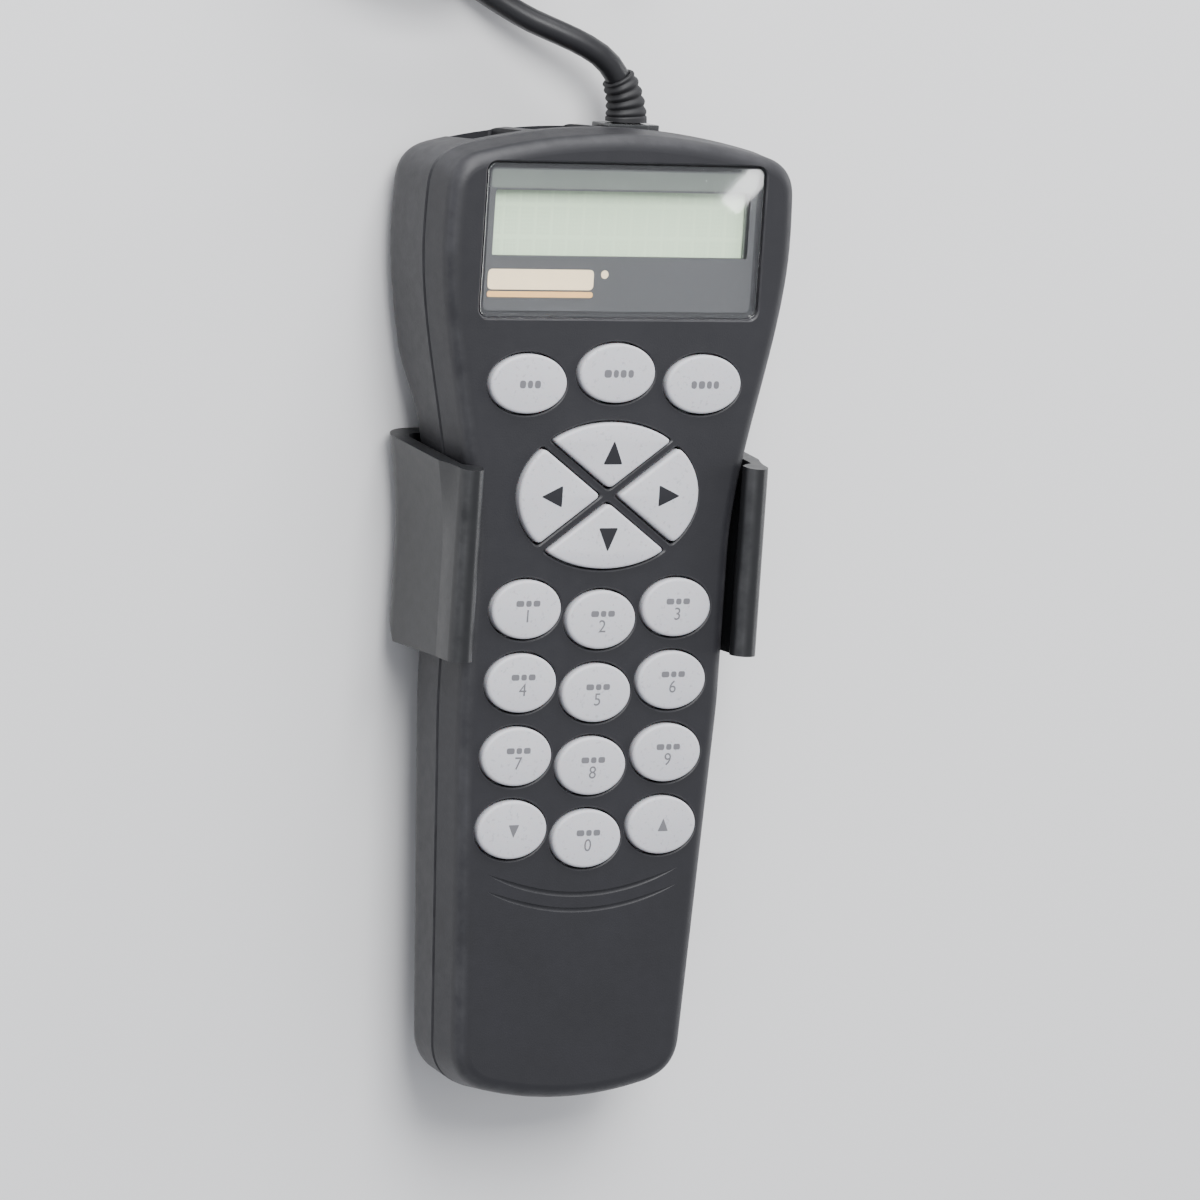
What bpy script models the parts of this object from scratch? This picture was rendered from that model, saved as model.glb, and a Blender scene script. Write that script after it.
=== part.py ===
"""A telescope hand controller lying in its holder, with its cord wound up beyond the display end.

+X is the controller's right, +Y its display end and +Z out of its key face. Z = 0 is the flat back of
the holder, and X = Y = 0 is the middle of the controller.
"""

import math

import bmesh
import bpy
from mathutils import Matrix, Vector

MM = 0.001
GAP = 0.3 * MM  # left between pieces that touch
PAST = 1.0 * MM  # how far a cutter, or a shape that is joined on, runs past a face

# The controller in plan. Places along it are counted from the display end.
LENGTH = 189.4 * MM
HEAD_WIDTH = 77.6 * MM
GRIP_WIDTH = 58.8 * MM
TAIL_WIDTH = 50.6 * MM
HEAD_TAPER = 1.4 * MM  # each side's loss from the widest place to the display end
HEAD_WIDEST_AT = 20.0 * MM
GRIP_FROM = 82.0 * MM
GRIP_TO = 111.0 * MM
HEAD_ARCH = 5.5 * MM  # how far the arched end falls at its corners
TAIL_ARCH = 4.6 * MM
HEAD_CORNER = 6.0 * MM
TAIL_CORNER = 7.0 * MM
OUTLINE_STEP = 12.6 * MM  # between the outline's points along the sides

# The controller's depth
GRIP_THICKNESS = 24.0 * MM
TAIL_RISE = 2.0 * MM  # the tail is this much thinner
BULGE_FROM = 44.0 * MM  # the head is deep enough for the sockets from its end to here
BULGE_TO = 58.0 * MM
FRONT_DEPTH = 9.0 * MM  # from the face to the split between the shells
FACE_WALL = 2.8 * MM
SIDE_WALL = 2.4 * MM
DRAFT = 0.6 * MM
CEILING_EDGE = 0.6 * MM  # chamfer inside, under the face
FACE_EDGE = 3.0 * MM  # radius round the face
BACK_EDGE = 6.0 * MM  # radius round the back

# Holder
PLATE = 4.0 * MM
SEAT_GAP = 0.5 * MM
ARM_CLEARANCE = 0.6 * MM
ARM_WALL = 3.4 * MM
LIP_WIDTH = 5.0 * MM
LIP_PROUD = 4.5 * MM  # above the face
LIP_REACH = 0.5 * MM  # over the grip's edge
LIP_SHOULDER = 1.0 * MM
LIP_NECK = 4.0 * MM  # the arms narrow into their lips from this far under the face
LIP_CATCH = (0.9 * MM, 0.6 * MM)  # the slope under the lip, above and below the face
HOLDER_FROM = 60.7 * MM
HOLDER_LENGTH = 40.6 * MM
HOLDER_SLANT = 3.8 * MM  # the arms' upper ends are this much shorter at the front
HOLDER_HEEL = 7.0 * MM  # height of the slant that cuts the lower back corners
HOLDER_HEEL_RUN = 10.5 * MM
HOLDER_CORNER = 7.0 * MM
HOLDER_SCREW_HOLE = 2.25 * MM
HOLDER_SCREW_SPACING = 18.0 * MM
HOLDER_SCREW_FROM = 72.0 * MM

# Window and display
DISPLAY_WIDTH = 56.2 * MM  # what shows of the display
DISPLAY_HEIGHT = 12.6 * MM
DISPLAY_AT = 17.9 * MM
DISPLAY_MARGIN = 1.0 * MM  # the face's opening is this much larger all round
WINDOW_SIDES = 2.6 * MM  # the window runs this far past the display
WINDOW_ABOVE = 5.5 * MM
WINDOW_BELOW = 11.7 * MM
WINDOW_THICKNESS = 1.3 * MM
WINDOW_SUNK = 0.3 * MM
WINDOW_CORNER = 2.0 * MM
GLASS_BORDER = (1.3 * MM, 2.6 * MM)
GLASS_THICKNESS = 1.4 * MM
FRAME_METAL = 0.8 * MM
BACKLIGHT_THICKNESS = 1.3 * MM
LCD_BOARD_MARGIN = (4.9 * MM, 5.0 * MM)  # past what shows of the display
LCD_BOARD_THICKNESS = 1.2 * MM
LCD_BOARD_DROP = 1.7 * MM  # the board's middle is this much nearer the keys
HEADER = (40.6 * MM, 2.5 * MM)
HEADER_INSET = 2.5 * MM

# Keys
KEY_TRAVEL = 1.0 * MM
KEY_PROUD = 1.2 * MM
KEY_CLEARANCE = 0.35 * MM
KEY_LIP = 0.65 * MM  # the flange under the face, beyond the key
KEY_FLANGE = 1.0 * MM
KEY_DOME = 0.9 * MM
STEM_RADIUS = 2.6 * MM
TOP_KEY = (8.3 * MM, 5.8 * MM)  # half the width, half the height
TOP_KEY_PITCH = 19.3 * MM
TOP_KEY_AT = 48.4 * MM
TOP_KEY_RAISE = 2.1 * MM  # the middle one sits this much nearer the display
PAD = (19.8 * MM, 14.15 * MM)
PAD_WEB = 2.3 * MM
PAD_AT = 70.0 * MM
PAD_ROUNDING = 1.1 * MM
NUMBER_KEY = (7.55 * MM, 5.8 * MM)
NUMBER_COLUMN_PITCH = 16.6 * MM
NUMBER_ROW_PITCH = 14.3 * MM
NUMBER_ROWS = 4
NUMBER_AT = 91.9 * MM
NUMBER_DROP = 2.2 * MM  # the middle column sits lower

# Boards and what they carry
BOARD_UNDER_FACE = 10.5 * MM
BOARD_THICKNESS = 1.6 * MM
BOARD_MARGIN = 1.2 * MM
MAT_THICKNESS = 1.4 * MM
MAT_MARGIN = 2.0 * MM
MAT_FROM = 40.0 * MM
MAT_TO = 143.0 * MM
CHIPS = (  # name, x, place from the display end, width, height and depth in mm
    ("processor", 0.0, 95.0, 14.0, 14.0, 1.6),
    ("memory_chip", -14.0, 112.0, 8.0, 5.2, 1.7),
    ("regulator", 18.0, 60.0, 6.6, 9.4, 2.3),
    ("crystal", 13.0, 112.0, 4.6, 11.2, 3.6),
)
CHIP_EDGE = 0.3 * MM
BUZZER = (6.0 * MM, 5.6 * MM)  # radius and height
BUZZER_MOUTH = (1.1 * MM, 1.6 * MM)  # radius and depth

# Sockets in the display end, and the plugs
CORD_X = 9.0 * MM
SERIAL_X = -8.0 * MM
POWER_X = -22.5 * MM
SOCKET_HEIGHT = 12.0 * MM
SOCKET_FLOOR = 1.4 * MM  # between the sockets and the back shell
SOCKET_RECESS = 0.6 * MM
SOCKET_CLEARANCE = 0.35 * MM
SOCKET_HOLE_DEPTH = 6.0 * MM
CONTROL_SOCKET = (15.6 * MM, 18.0 * MM)
CONTROL_CAVITY = (12.2 * MM, 8.9 * MM, 13.2 * MM)
SERIAL_SOCKET = (13.2 * MM, 16.0 * MM)
SERIAL_CAVITY = (10.0 * MM, 7.2 * MM, 10.5 * MM)
POWER_SOCKET = (10.0 * MM, 13.5 * MM)
POWER_BORE = 3.2 * MM
POWER_PIN = 1.0 * MM
POWER_PIN_RECESS = 1.5 * MM
POWER_DEPTH = 9.5 * MM
PLUG_LENGTH = 15.0 * MM
PLUG_SEATED = 12.6 * MM
PLUG_BODY = (11.6 * MM, 6.4 * MM)
PLUG_LATCH = (3.4 * MM, 1.1 * MM)
LATCH_INSET = 1.5 * MM
BOOT_LENGTH = 9.0 * MM
BOOT_WIDE = (8.2 * MM, 6.4 * MM)
BOOT_NARROW = 3.3 * MM  # radius where the cord leaves it
BOOT_BEND = 16.0 * MM  # radius of the boot's turn to the left, at the controller

# Screws
CASE_SCREW_SUNK = 3.565 * MM  # depth of the wells under the tail, where the case is thinnest
CASE_SCREW_BITE = 5.5 * MM
CASE_POSTS_AT = ((30.0 * MM, 36.7 * MM), (17.5 * MM, 172.0 * MM))
BOARD_SCREW_LENGTH = 6.0 * MM
BOARD_POSTS_AT = ((23.0 * MM, 81.7 * MM), (-23.0 * MM, 81.7 * MM), (0.0, 152.0 * MM))
CASE_SHANK = 1.3 * MM
BOARD_SHANK = 0.95 * MM
SCREW_HEAD = (2.4 * MM, 1.7 * MM)
BOARD_SCREW_HEAD = (1.8 * MM, 1.2 * MM)
POST_WALL = 1.5 * MM
WELL_WALL = 1.4 * MM
WELL_CLEARANCE = 0.5 * MM

# Cord
CORD_DIAMETER = 4.8 * MM
COIL_RADIUS = 26.4 * MM  # middle of the turns
COIL_SIDE = 3  # turns across, and layers
COIL_CENTRE = (-34.0 * MM, 156.1 * MM)
CORD_STEP = 2 * CORD_DIAMETER  # between the points of the cord's plain tubes
STRAP = 0.9 * MM
STRAP_LIFT = 0.1 * MM  # the strap clears the table by this
STRAP_WIDTH = 9.0 * MM
STRAP_ANGLE = math.radians(150)
LEAD_ROUTE = (
    (3.4, 107.2, 9.8),
    (-0.9, 109.7, 9.1),
    (-6.0, 111.8, 7.9),
    (-11.6, 114.0, 6.3),
    (-17.0, 116.8, 4.8),
    (-21.0, 119.1, 3.9),
    (-24.0, 121.0, 3.5),
)
TAIL_ROUTE = (
    (-15.2, 187.4, 12.6),
    (-7.4, 186.6, 10.4),
    (0.6, 183.4, 7.9),
    (7.2, 178.2, 5.8),
    (11.6, 171.4, 4.4),
    (13.6, 163.6, 3.8),
)
FAR_PLUG_X = 13.8 * MM
FAR_PLUG_Y = 131.1 * MM  # tip of the plug at the cord's far end

# Levels
SOCKET_DEPTH = BOARD_UNDER_FACE + BOARD_THICKNESS + GAP + SOCKET_HEIGHT + SOCKET_FLOOR + SIDE_WALL
HEAD_BULGE = max(0.0, SOCKET_DEPTH - GRIP_THICKNESS)  # the head is this much thicker than the grip
GRIP_BACK_Z = max(PLATE + SEAT_GAP, HEAD_BULGE + GAP)
SEAT_Z = GRIP_BACK_Z - SEAT_GAP
FACE_Z = GRIP_BACK_Z + GRIP_THICKNESS
SPLIT_Z = FACE_Z - FRONT_DEPTH
CEILING_Z = FACE_Z - FACE_WALL
BOARD_TOP = FACE_Z - BOARD_UNDER_FACE
BOARD_BOTTOM = BOARD_TOP - BOARD_THICKNESS
SOCKET_TOP = BOARD_BOTTOM - GAP
CORD_Z = SOCKET_TOP - SOCKET_HEIGHT / 2
COIL_BOTTOM = STRAP + GAP

# Window
WINDOW_WIDTH = DISPLAY_WIDTH + 2 * WINDOW_SIDES
WINDOW_HEIGHT = WINDOW_ABOVE + DISPLAY_HEIGHT + WINDOW_BELOW


def along(distance):
    """Y of a place this far from the display end."""
    return LENGTH / 2 - distance


def blend(low, high, share):
    return low + (high - low) * share


def ease(share):
    """0 to 1 with level ends."""
    share = min(max(share, 0.0), 1.0)
    return share * share * (3 - 2 * share)


# Collections, materials and object helpers


def new_collection(name):
    made = bpy.data.collections.new(name)
    bpy.context.scene.collection.children.link(made)
    return made


def new_material(name, colour, roughness, metallic=0.0, alpha=1.0):
    made = bpy.data.materials.new(name)
    made.use_nodes = True
    shader = made.node_tree.nodes["Principled BSDF"]
    shader.inputs["Base Color"].default_value = (*colour, 1.0)
    shader.inputs["Roughness"].default_value = roughness
    shader.inputs["Metallic"].default_value = metallic
    shader.inputs["Alpha"].default_value = alpha
    return made


def object_from(bm, name, material, collection=None):
    """A mesh object in the parts' collection, or in the one given."""
    bmesh.ops.recalc_face_normals(bm, faces=bm.faces)
    mesh = bpy.data.meshes.new(name)
    bm.to_mesh(mesh)
    bm.free()
    made = bpy.data.objects.new(name, mesh)
    if material:
        mesh.materials.append(material)
    (collection or PARTS).objects.link(made)
    return made


def as_tool(tool):
    """Marks a cutter, or a shape joined to a part, as no part of its own."""
    tool.hide_render = True
    tool.display_type = "WIRE"
    return tool


def combine(target, operation, tools):
    """Joins tools to the target or cuts them from it, with one Boolean."""
    group = bpy.data.collections.new(f"{target.name}_{operation.lower()}")
    TOOLS.children.link(group)
    for tool in tools:
        for owner in tool.users_collection:
            owner.objects.unlink(tool)
        group.objects.link(as_tool(tool))
    modifier = target.modifiers.new(operation.title(), "BOOLEAN")
    modifier.operation = operation
    modifier.operand_type = "COLLECTION"
    modifier.collection = group
    modifier.solver = "EXACT"


def soften(target, width, segments=2, angle=50):
    modifier = target.modifiers.new("Bevel", "BEVEL")
    modifier.width = width
    modifier.segments = segments
    modifier.limit_method = "ANGLE"
    modifier.angle_limit = math.radians(angle)


def shade_round(target, angle=40):
    target.data.shade_smooth()
    target.data.set_sharp_from_angle(angle=math.radians(angle))


# Flat loops of (x, y) points


def ellipse(centre, half, count):
    """Half is (half width, half height)."""
    turns = (2 * math.pi * step / count for step in range(count))
    return [(centre[0] + half[0] * math.cos(a), centre[1] + half[1] * math.sin(a)) for a in turns]


def rounded_rectangle(centre, width, height, radius, steps=2):
    loop = []
    for quarter, (sx, sy) in enumerate(((1, 1), (-1, 1), (-1, -1), (1, -1))):
        middle = (centre[0] + sx * (width / 2 - radius), centre[1] + sy * (height / 2 - radius))
        for step in range(steps + 1):
            angle = math.pi / 2 * (quarter + step / steps)
            loop.append((middle[0] + radius * math.cos(angle), middle[1] + radius * math.sin(angle)))
    return loop


def corner(before, point, after, steps):
    """A round corner: points from before to after, pulled towards the sharp point."""
    made = []
    for step in range(steps + 1):
        t = step / steps
        weights = ((1 - t) ** 2, 2 * t * (1 - t), t * t)
        made.append(tuple(sum(w * p[i] for w, p in zip(weights, (before, point, after))) for i in (0, 1)))
    return made


def arc(middle, radius, degrees):
    """Points at these angles round a circle."""
    turns = [math.radians(angle) for angle in degrees]
    return [(middle[0] + radius * math.cos(a), middle[1] + radius * math.sin(a)) for a in turns]


def step_towards(start, end, distance):
    length = math.dist(start, end)
    return tuple(a + (b - a) * distance / length for a, b in zip(start, end))


def pad_quarter(turn, grow, count=11):
    """One of the four direction keys: 0 right, 1 up, 2 left, 3 down. Grow widens it all round."""
    wide, high = PAD[0] + grow, PAD[1] + grow
    web = PAD_WEB - 2 * grow
    diagonal = math.hypot(wide, high)
    slip = math.asin(web * diagonal / (2 * math.sqrt(2) * wide * high))
    middle = (0.0, along(PAD_AT))
    start = math.pi / 2 * turn - math.pi / 4 + slip
    sweep = math.pi / 2 - 2 * slip
    rim = []
    for step in range(count):
        angle = start + sweep * step / (count - 1)
        rim.append((middle[0] + wide * math.cos(angle), middle[1] + high * math.sin(angle)))
    reach = web / 2 * diagonal / (high if turn % 2 == 0 else wide)
    angle = math.pi / 2 * turn
    tip = (middle[0] + reach * math.cos(angle), middle[1] + reach * math.sin(angle))
    radius = PAD_ROUNDING
    first = corner(step_towards(rim[0], tip, radius), rim[0], step_towards(rim[0], rim[1], radius), 2)
    last = corner(step_towards(rim[-1], rim[-2], radius), rim[-1], step_towards(rim[-1], tip, radius), 2)
    point = corner(step_towards(tip, rim[-1], radius), tip, step_towards(tip, rim[0], radius), 2)
    return first + rim[1:-1] + last + point


def half_width(y):
    """Half the controller's width at its widest level."""
    from_end = LENGTH / 2 - y
    if from_end < HEAD_WIDEST_AT:
        return HEAD_WIDTH / 2 - HEAD_TAPER * (1 - from_end / HEAD_WIDEST_AT) ** 2
    if from_end < GRIP_FROM:
        share = (GRIP_FROM - from_end) / (GRIP_FROM - HEAD_WIDEST_AT)
        return blend(GRIP_WIDTH, HEAD_WIDTH, ease(share)) / 2
    share = max(0.0, (from_end - GRIP_TO) / (LENGTH - GRIP_TO))
    return blend(GRIP_WIDTH, TAIL_WIDTH, share) / 2


def end_of(side, arch, radius, steps):
    """The right half of an arched end and its corner, from the middle outwards. Side is 1 or -1."""
    corner_y = side * (LENGTH / 2 - arch)
    corner_x = half_width(corner_y)
    arch_to = corner_x - radius
    made = []
    for step in range(steps + 1):
        x = arch_to * step / steps
        made.append((x, side * (LENGTH / 2 - arch * (x / corner_x) ** 2)))
    turn_y = corner_y - side * radius
    return made[:-1] + corner(made[-1], (corner_x, corner_y), (half_width(turn_y), turn_y), 4)


def outline(step_length=OUTLINE_STEP, end_steps=4):
    """The controller's widest outline, from the middle of the display end round its right side."""
    side_steps = round(LENGTH / step_length)
    head = end_of(1, HEAD_ARCH, HEAD_CORNER, end_steps)
    tail = end_of(-1, TAIL_ARCH, TAIL_CORNER, end_steps)[::-1]
    high, low = head[-1][1], tail[0][1]
    side = []
    for step in range(1, side_steps):
        y = blend(high, low, step / side_steps)
        side.append((half_width(y), y))
    right = head + side + tail
    left = [(-x, y) for x, y in reversed(right[1:-1])]
    return right + left


def inset(loop, distance):
    """The loop, which runs clockwise, moved inwards."""
    moved = []
    for index, (x, y) in enumerate(loop):
        (ax, ay), (bx, by) = loop[index - 1], loop[(index + 1) % len(loop)]
        length = math.hypot(bx - ax, by - ay)
        moved.append((x + (by - ay) / length * distance, y - (bx - ax) / length * distance))
    return moved


def at_level(loop, z):
    return [(x, y, z) for x, y in loop]


def smooth_route(route, spacing):
    """Points every spacing along a smooth curve through the route's points."""
    points = [Vector(p) for p in route]
    ends = [2 * points[0] - points[1], *points, 2 * points[-1] - points[-2]]
    fine = []
    for a, b, c, d in zip(ends, ends[1:], ends[2:], ends[3:]):
        for step in range(20):
            t = step / 20
            bend = 2 * b + (c - a) * t + (2 * a - 5 * b + 4 * c - d) * t**2 + (3 * b - a - 3 * c + d) * t**3
            fine.append(bend / 2)
    fine.append(points[-1])
    length = sum((q - p).length for p, q in zip(fine, fine[1:]))
    count = max(2, round(length / spacing))
    kept, walked = [fine[0]], 0.0
    for p, q in zip(fine, fine[1:]):
        walked += (q - p).length
        if walked >= len(kept) * length / count - 1e-9:
            kept.append(q)
    return kept


# Solids


def loft(name, rings, material, strips=False):
    """A closed solid through rings with the same number of points. Strips caps it with bands across
    the width, for an end that isn't flat along the length."""
    bm = bmesh.new()
    made = [[bm.verts.new(point) for point in ring] for ring in rings]
    count = len(made[0])
    for low, high in zip(made, made[1:]):
        for i in range(count):
            j = (i + 1) % count
            bm.faces.new((low[i], low[j], high[j], high[i]))
    for ring in (made[0], made[-1]):
        if not strips:
            bm.faces.new(ring)
            continue
        for i in range(count // 2):
            across = [ring[i], ring[i + 1], ring[(count - i - 1) % count], ring[(count - i) % count]]
            bm.faces.new(list(dict.fromkeys(across)))
    return object_from(bm, name, material)


def slab(name, loop, low, high, material=None):
    return loft(name, [at_level(loop, low), at_level(loop, high)], material)


def block(name, low, high, material=None, edge=0.0):
    bm = bmesh.new()
    middle = (Vector(low) + Vector(high)) / 2
    size = Vector(high) - Vector(low)
    matrix = Matrix.Translation(middle) @ Matrix.Diagonal((*size, 1.0))
    bmesh.ops.create_cube(bm, size=1.0, matrix=matrix)
    made = object_from(bm, name, material)
    if edge:
        soften(made, edge, 1)
    return made


def cylinder(name, centre, radius, low, high, count=16, material=None, top_radius=None):
    """An upright cylinder, or a cone where top_radius is given."""
    bm = bmesh.new()
    matrix = Matrix.Translation((centre[0], centre[1], (low + high) / 2))
    bmesh.ops.create_cone(
        bm,
        cap_ends=True,
        segments=count,
        radius1=radius,
        radius2=radius if top_radius is None else top_radius,
        depth=high - low,
        matrix=matrix,
    )
    made = object_from(bm, name, material)
    shade_round(made)
    return made


def lengthwise_cylinder(name, centre, radius, start, end, count=20, material=None):
    """A cylinder along Y. Centre is (x, z)."""
    bm = bmesh.new()
    turn = Matrix.Rotation(math.pi / 2, 4, "X")
    matrix = Matrix.Translation((centre[0], (start + end) / 2, centre[1])) @ turn
    bmesh.ops.create_cone(
        bm, cap_ends=True, segments=count, radius1=radius, radius2=radius, depth=end - start, matrix=matrix
    )
    return object_from(bm, name, material)


def turned(name, profile, location, steps, material):
    """A profile of (radius, z) points, listed down its outer side, turned about the vertical."""
    mesh = bpy.data.meshes.new(name)
    edges = [(i, i + 1) for i in range(len(profile) - 1)]
    if profile[0][0] > 0:
        edges.append((len(profile) - 1, 0))
    mesh.from_pydata([(r, 0.0, z) for r, z in profile], edges, [])
    mesh.materials.append(material)
    made = bpy.data.objects.new(name, mesh)
    made.location = location
    PARTS.objects.link(made)
    modifier = made.modifiers.new("Screw", "SCREW")
    modifier.steps = steps
    modifier.render_steps = steps
    modifier.use_merge_vertices = True
    modifier.merge_threshold = 1e-6
    return made


def tube(name, points, radius, material):
    curve = bpy.data.curves.new(name, "CURVE")
    curve.dimensions = "3D"
    curve.bevel_depth = radius
    curve.bevel_resolution = 2
    curve.use_fill_caps = True
    spline = curve.splines.new("POLY")
    spline.points.add(len(points) - 1)
    for slot, point in zip(spline.points, points):
        slot.co = (*point, 1.0)
    curve.materials.append(material)
    made = bpy.data.objects.new(name, curve)
    PARTS.objects.link(made)
    return made


# Shells


def back_of(y):
    """Height of the controller's back: lowest under the head, highest at the tail."""
    from_end = LENGTH / 2 - y
    if from_end < BULGE_TO:
        share = ease((BULGE_TO - from_end) / (BULGE_TO - BULGE_FROM))
        return GRIP_BACK_Z - HEAD_BULGE * share
    return GRIP_BACK_Z + TAIL_RISE * (from_end - BULGE_TO) / (LENGTH - BULGE_TO)


def front_case(plastic):
    edge = outline()
    rings = [
        at_level(inset(edge, SIDE_WALL + DRAFT + CEILING_EDGE), CEILING_Z),
        at_level(inset(edge, SIDE_WALL + DRAFT), CEILING_Z - CEILING_EDGE),
        at_level(inset(edge, SIDE_WALL), SPLIT_Z + GAP / 2),
        at_level(edge, SPLIT_Z + GAP / 2),
        at_level(inset(edge, DRAFT), FACE_Z - FACE_EDGE),
    ]
    for degrees in (35, 65, 90):
        angle = math.radians(degrees)
        sunk = FACE_EDGE * (1 - math.sin(angle))
        rings.append(at_level(inset(edge, DRAFT + FACE_EDGE * (1 - math.cos(angle))), FACE_Z - sunk))
    shell = loft("front_case", rings, plastic)
    shade_round(shell)

    posts = []
    for x, y in case_post_places():
        posts.append(post("case_post", x, y, CASE_SHANK))
    for x, y in board_post_places():
        posts.append(post("board_post", x, y, BOARD_SHANK))
    combine(shell, "UNION", posts)

    cuts = [pilot("case_pilot", x, y, CASE_SHANK, CASE_SCREW_BITE) for x, y in case_post_places()]
    board_bite = BOARD_SCREW_LENGTH - BOARD_THICKNESS - GAP
    cuts += [pilot("board_pilot", x, y, BOARD_SHANK, board_bite) for x, y in board_post_places()]
    for name, shape in key_shapes():
        cuts.append(slab(f"{name}_hole", shape(KEY_CLEARANCE), CEILING_Z - PAST, FACE_Z + PAST))
    cuts += window_cuts()
    combine(shell, "DIFFERENCE", cuts)
    return shell


def post(name, x, y, shank):
    """A hollow post from the front shell down to the board."""
    return cylinder(name, (x, y), shank + GAP + POST_WALL, BOARD_TOP + GAP, CEILING_Z + PAST, 14)


def pilot(name, x, y, shank, bite):
    return cylinder(name, (x, y), shank + GAP, BOARD_TOP - PAST, BOARD_TOP + bite + PAST, 12)


def case_post_places():
    return [(side * x, along(distance)) for x, distance in CASE_POSTS_AT for side in (-1, 1)]


def board_post_places():
    return [(x, along(distance)) for x, distance in BOARD_POSTS_AT]


def window_middle():
    return (0.0, along(DISPLAY_AT) + (WINDOW_ABOVE - WINDOW_BELOW) / 2)


def display_middle():
    return (0.0, along(DISPLAY_AT))


def window_cuts():
    """The seat that the window drops into, and the opening over the display."""
    seat = rounded_rectangle(window_middle(), WINDOW_WIDTH, WINDOW_HEIGHT, WINDOW_CORNER)
    seat_z = FACE_Z - WINDOW_SUNK - WINDOW_THICKNESS - GAP
    wide, high = DISPLAY_WIDTH + 2 * DISPLAY_MARGIN, DISPLAY_HEIGHT + 2 * DISPLAY_MARGIN
    view = rounded_rectangle(display_middle(), wide, high, DISPLAY_MARGIN)
    return [
        slab("window_seat", seat, seat_z, FACE_Z + PAST),
        slab("display_opening", view, CEILING_Z - PAST, FACE_Z),
    ]


def back_case(plastic):
    edge = outline()
    inner_edge = BACK_EDGE - SIDE_WALL

    def curved(loop, rise):
        return [(x, y, back_of(y) + rise) for x, y in loop]

    rings = []
    for degrees in (90, 45, 0):
        angle = math.radians(degrees)
        move = SIDE_WALL + DRAFT + inner_edge * (1 - math.cos(angle))
        rings.append(curved(inset(edge, move), SIDE_WALL + inner_edge * (1 - math.sin(angle))))
    rings.append(at_level(inset(edge, SIDE_WALL), SPLIT_Z - GAP / 2))
    rings.append(at_level(edge, SPLIT_Z - GAP / 2))
    for degrees in (0, 30, 60, 90):
        angle = math.radians(degrees)
        move = DRAFT + BACK_EDGE * (1 - math.cos(angle))
        rings.append(curved(inset(edge, move), BACK_EDGE * (1 - math.sin(angle))))
    shell = loft("back_case", rings, plastic, strips=True)
    shade_round(shell)

    bosses, cuts = [], []
    for x, y in case_post_places():
        boss = well_radius() + WELL_WALL
        bosses.append(cylinder("screw_boss", (x, y), boss, back_of(y) + PAST, BOARD_BOTTOM - GAP))
        cuts.append(cylinder("screw_well", (x, y), well_radius(), -PAST, well_floor()))
        cuts.append(cylinder("screw_way", (x, y), CASE_SHANK + GAP, 0.0, BOARD_TOP, 12))
    combine(shell, "UNION", bosses)
    for x, width in ((CORD_X, CONTROL_SOCKET[0]), (SERIAL_X, SERIAL_SOCKET[0]), (POWER_X, POWER_SOCKET[0])):
        half = width / 2 + SOCKET_CLEARANCE
        front = socket_front(x, width)
        low = (x - half, front - SOCKET_HOLE_DEPTH, SOCKET_TOP - SOCKET_HEIGHT - SOCKET_CLEARANCE)
        high = (x + half, along(-PAST), SOCKET_TOP + SOCKET_CLEARANCE)
        cuts.append(block("socket_hole", low, high))
    combine(shell, "DIFFERENCE", cuts)
    return shell


def well_radius():
    return SCREW_HEAD[0] + WELL_CLEARANCE


def well_floor():
    """Where the case screws' heads seat, inside the back shell. All four screws are one length."""
    return max(back_of(y) for _, y in case_post_places()) + CASE_SCREW_SUNK


# Window and display


def display_window(smoked):
    loop = rounded_rectangle(
        window_middle(), WINDOW_WIDTH - 2 * GAP, WINDOW_HEIGHT - 2 * GAP, WINDOW_CORNER - GAP, 3
    )
    top = FACE_Z - WINDOW_SUNK
    return slab("display_window", loop, top - WINDOW_THICKNESS, top, smoked)


def centred_block(name, middle, width, height, low, high, material, edge=0.0):
    near = (middle[0] - width / 2, middle[1] - height / 2, low)
    far = (middle[0] + width / 2, middle[1] + height / 2, high)
    return block(name, near, far, material, edge)


def display_stack(metal, glass, diffuser, board):
    """The display glass and its light guide in a metal frame, on their own board."""
    middle = display_middle()
    width = DISPLAY_WIDTH + 2 * GLASS_BORDER[0]
    height = DISPLAY_HEIGHT + 2 * GLASS_BORDER[1]
    frame_top = CEILING_Z - GAP
    glass_top = frame_top - FRAME_METAL - GAP
    light_top = glass_top - GLASS_THICKNESS - GAP
    light_low = light_top - BACKLIGHT_THICKNESS
    board_top = light_low - 2 * GAP
    frame_wall = 2 * (FRAME_METAL + GAP)
    frame = centred_block(
        "lcd_frame", middle, width + frame_wall, height + frame_wall, board_top + GAP, frame_top, metal
    )
    view = centred_block(
        "display_view", middle, DISPLAY_WIDTH, DISPLAY_HEIGHT, board_top, frame_top + PAST, None
    )
    nest = centred_block(
        "glass_nest", middle, width + 2 * GAP, height + 2 * GAP, board_top - PAST, glass_top + GAP, None
    )
    combine(frame, "DIFFERENCE", [nest, view])
    centred_block("lcd_glass", middle, width, height, glass_top - GLASS_THICKNESS, glass_top, glass)
    centred_block("backlight_panel", middle, width, height, light_low, light_top, diffuser)
    board_width = DISPLAY_WIDTH + 2 * LCD_BOARD_MARGIN[0]
    board_height = DISPLAY_HEIGHT + 2 * LCD_BOARD_MARGIN[1]
    place = (0.0, along(DISPLAY_AT + LCD_BOARD_DROP))
    board_low = board_top - LCD_BOARD_THICKNESS
    centred_block("lcd_board", place, board_width, board_height, board_low, board_top, board)
    strip = (0.0, place[1] - board_height / 2 + HEADER_INSET)
    centred_block("header_strip", strip, *HEADER, BOARD_TOP + GAP, board_low - GAP, BLACK)


# Keys


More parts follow.
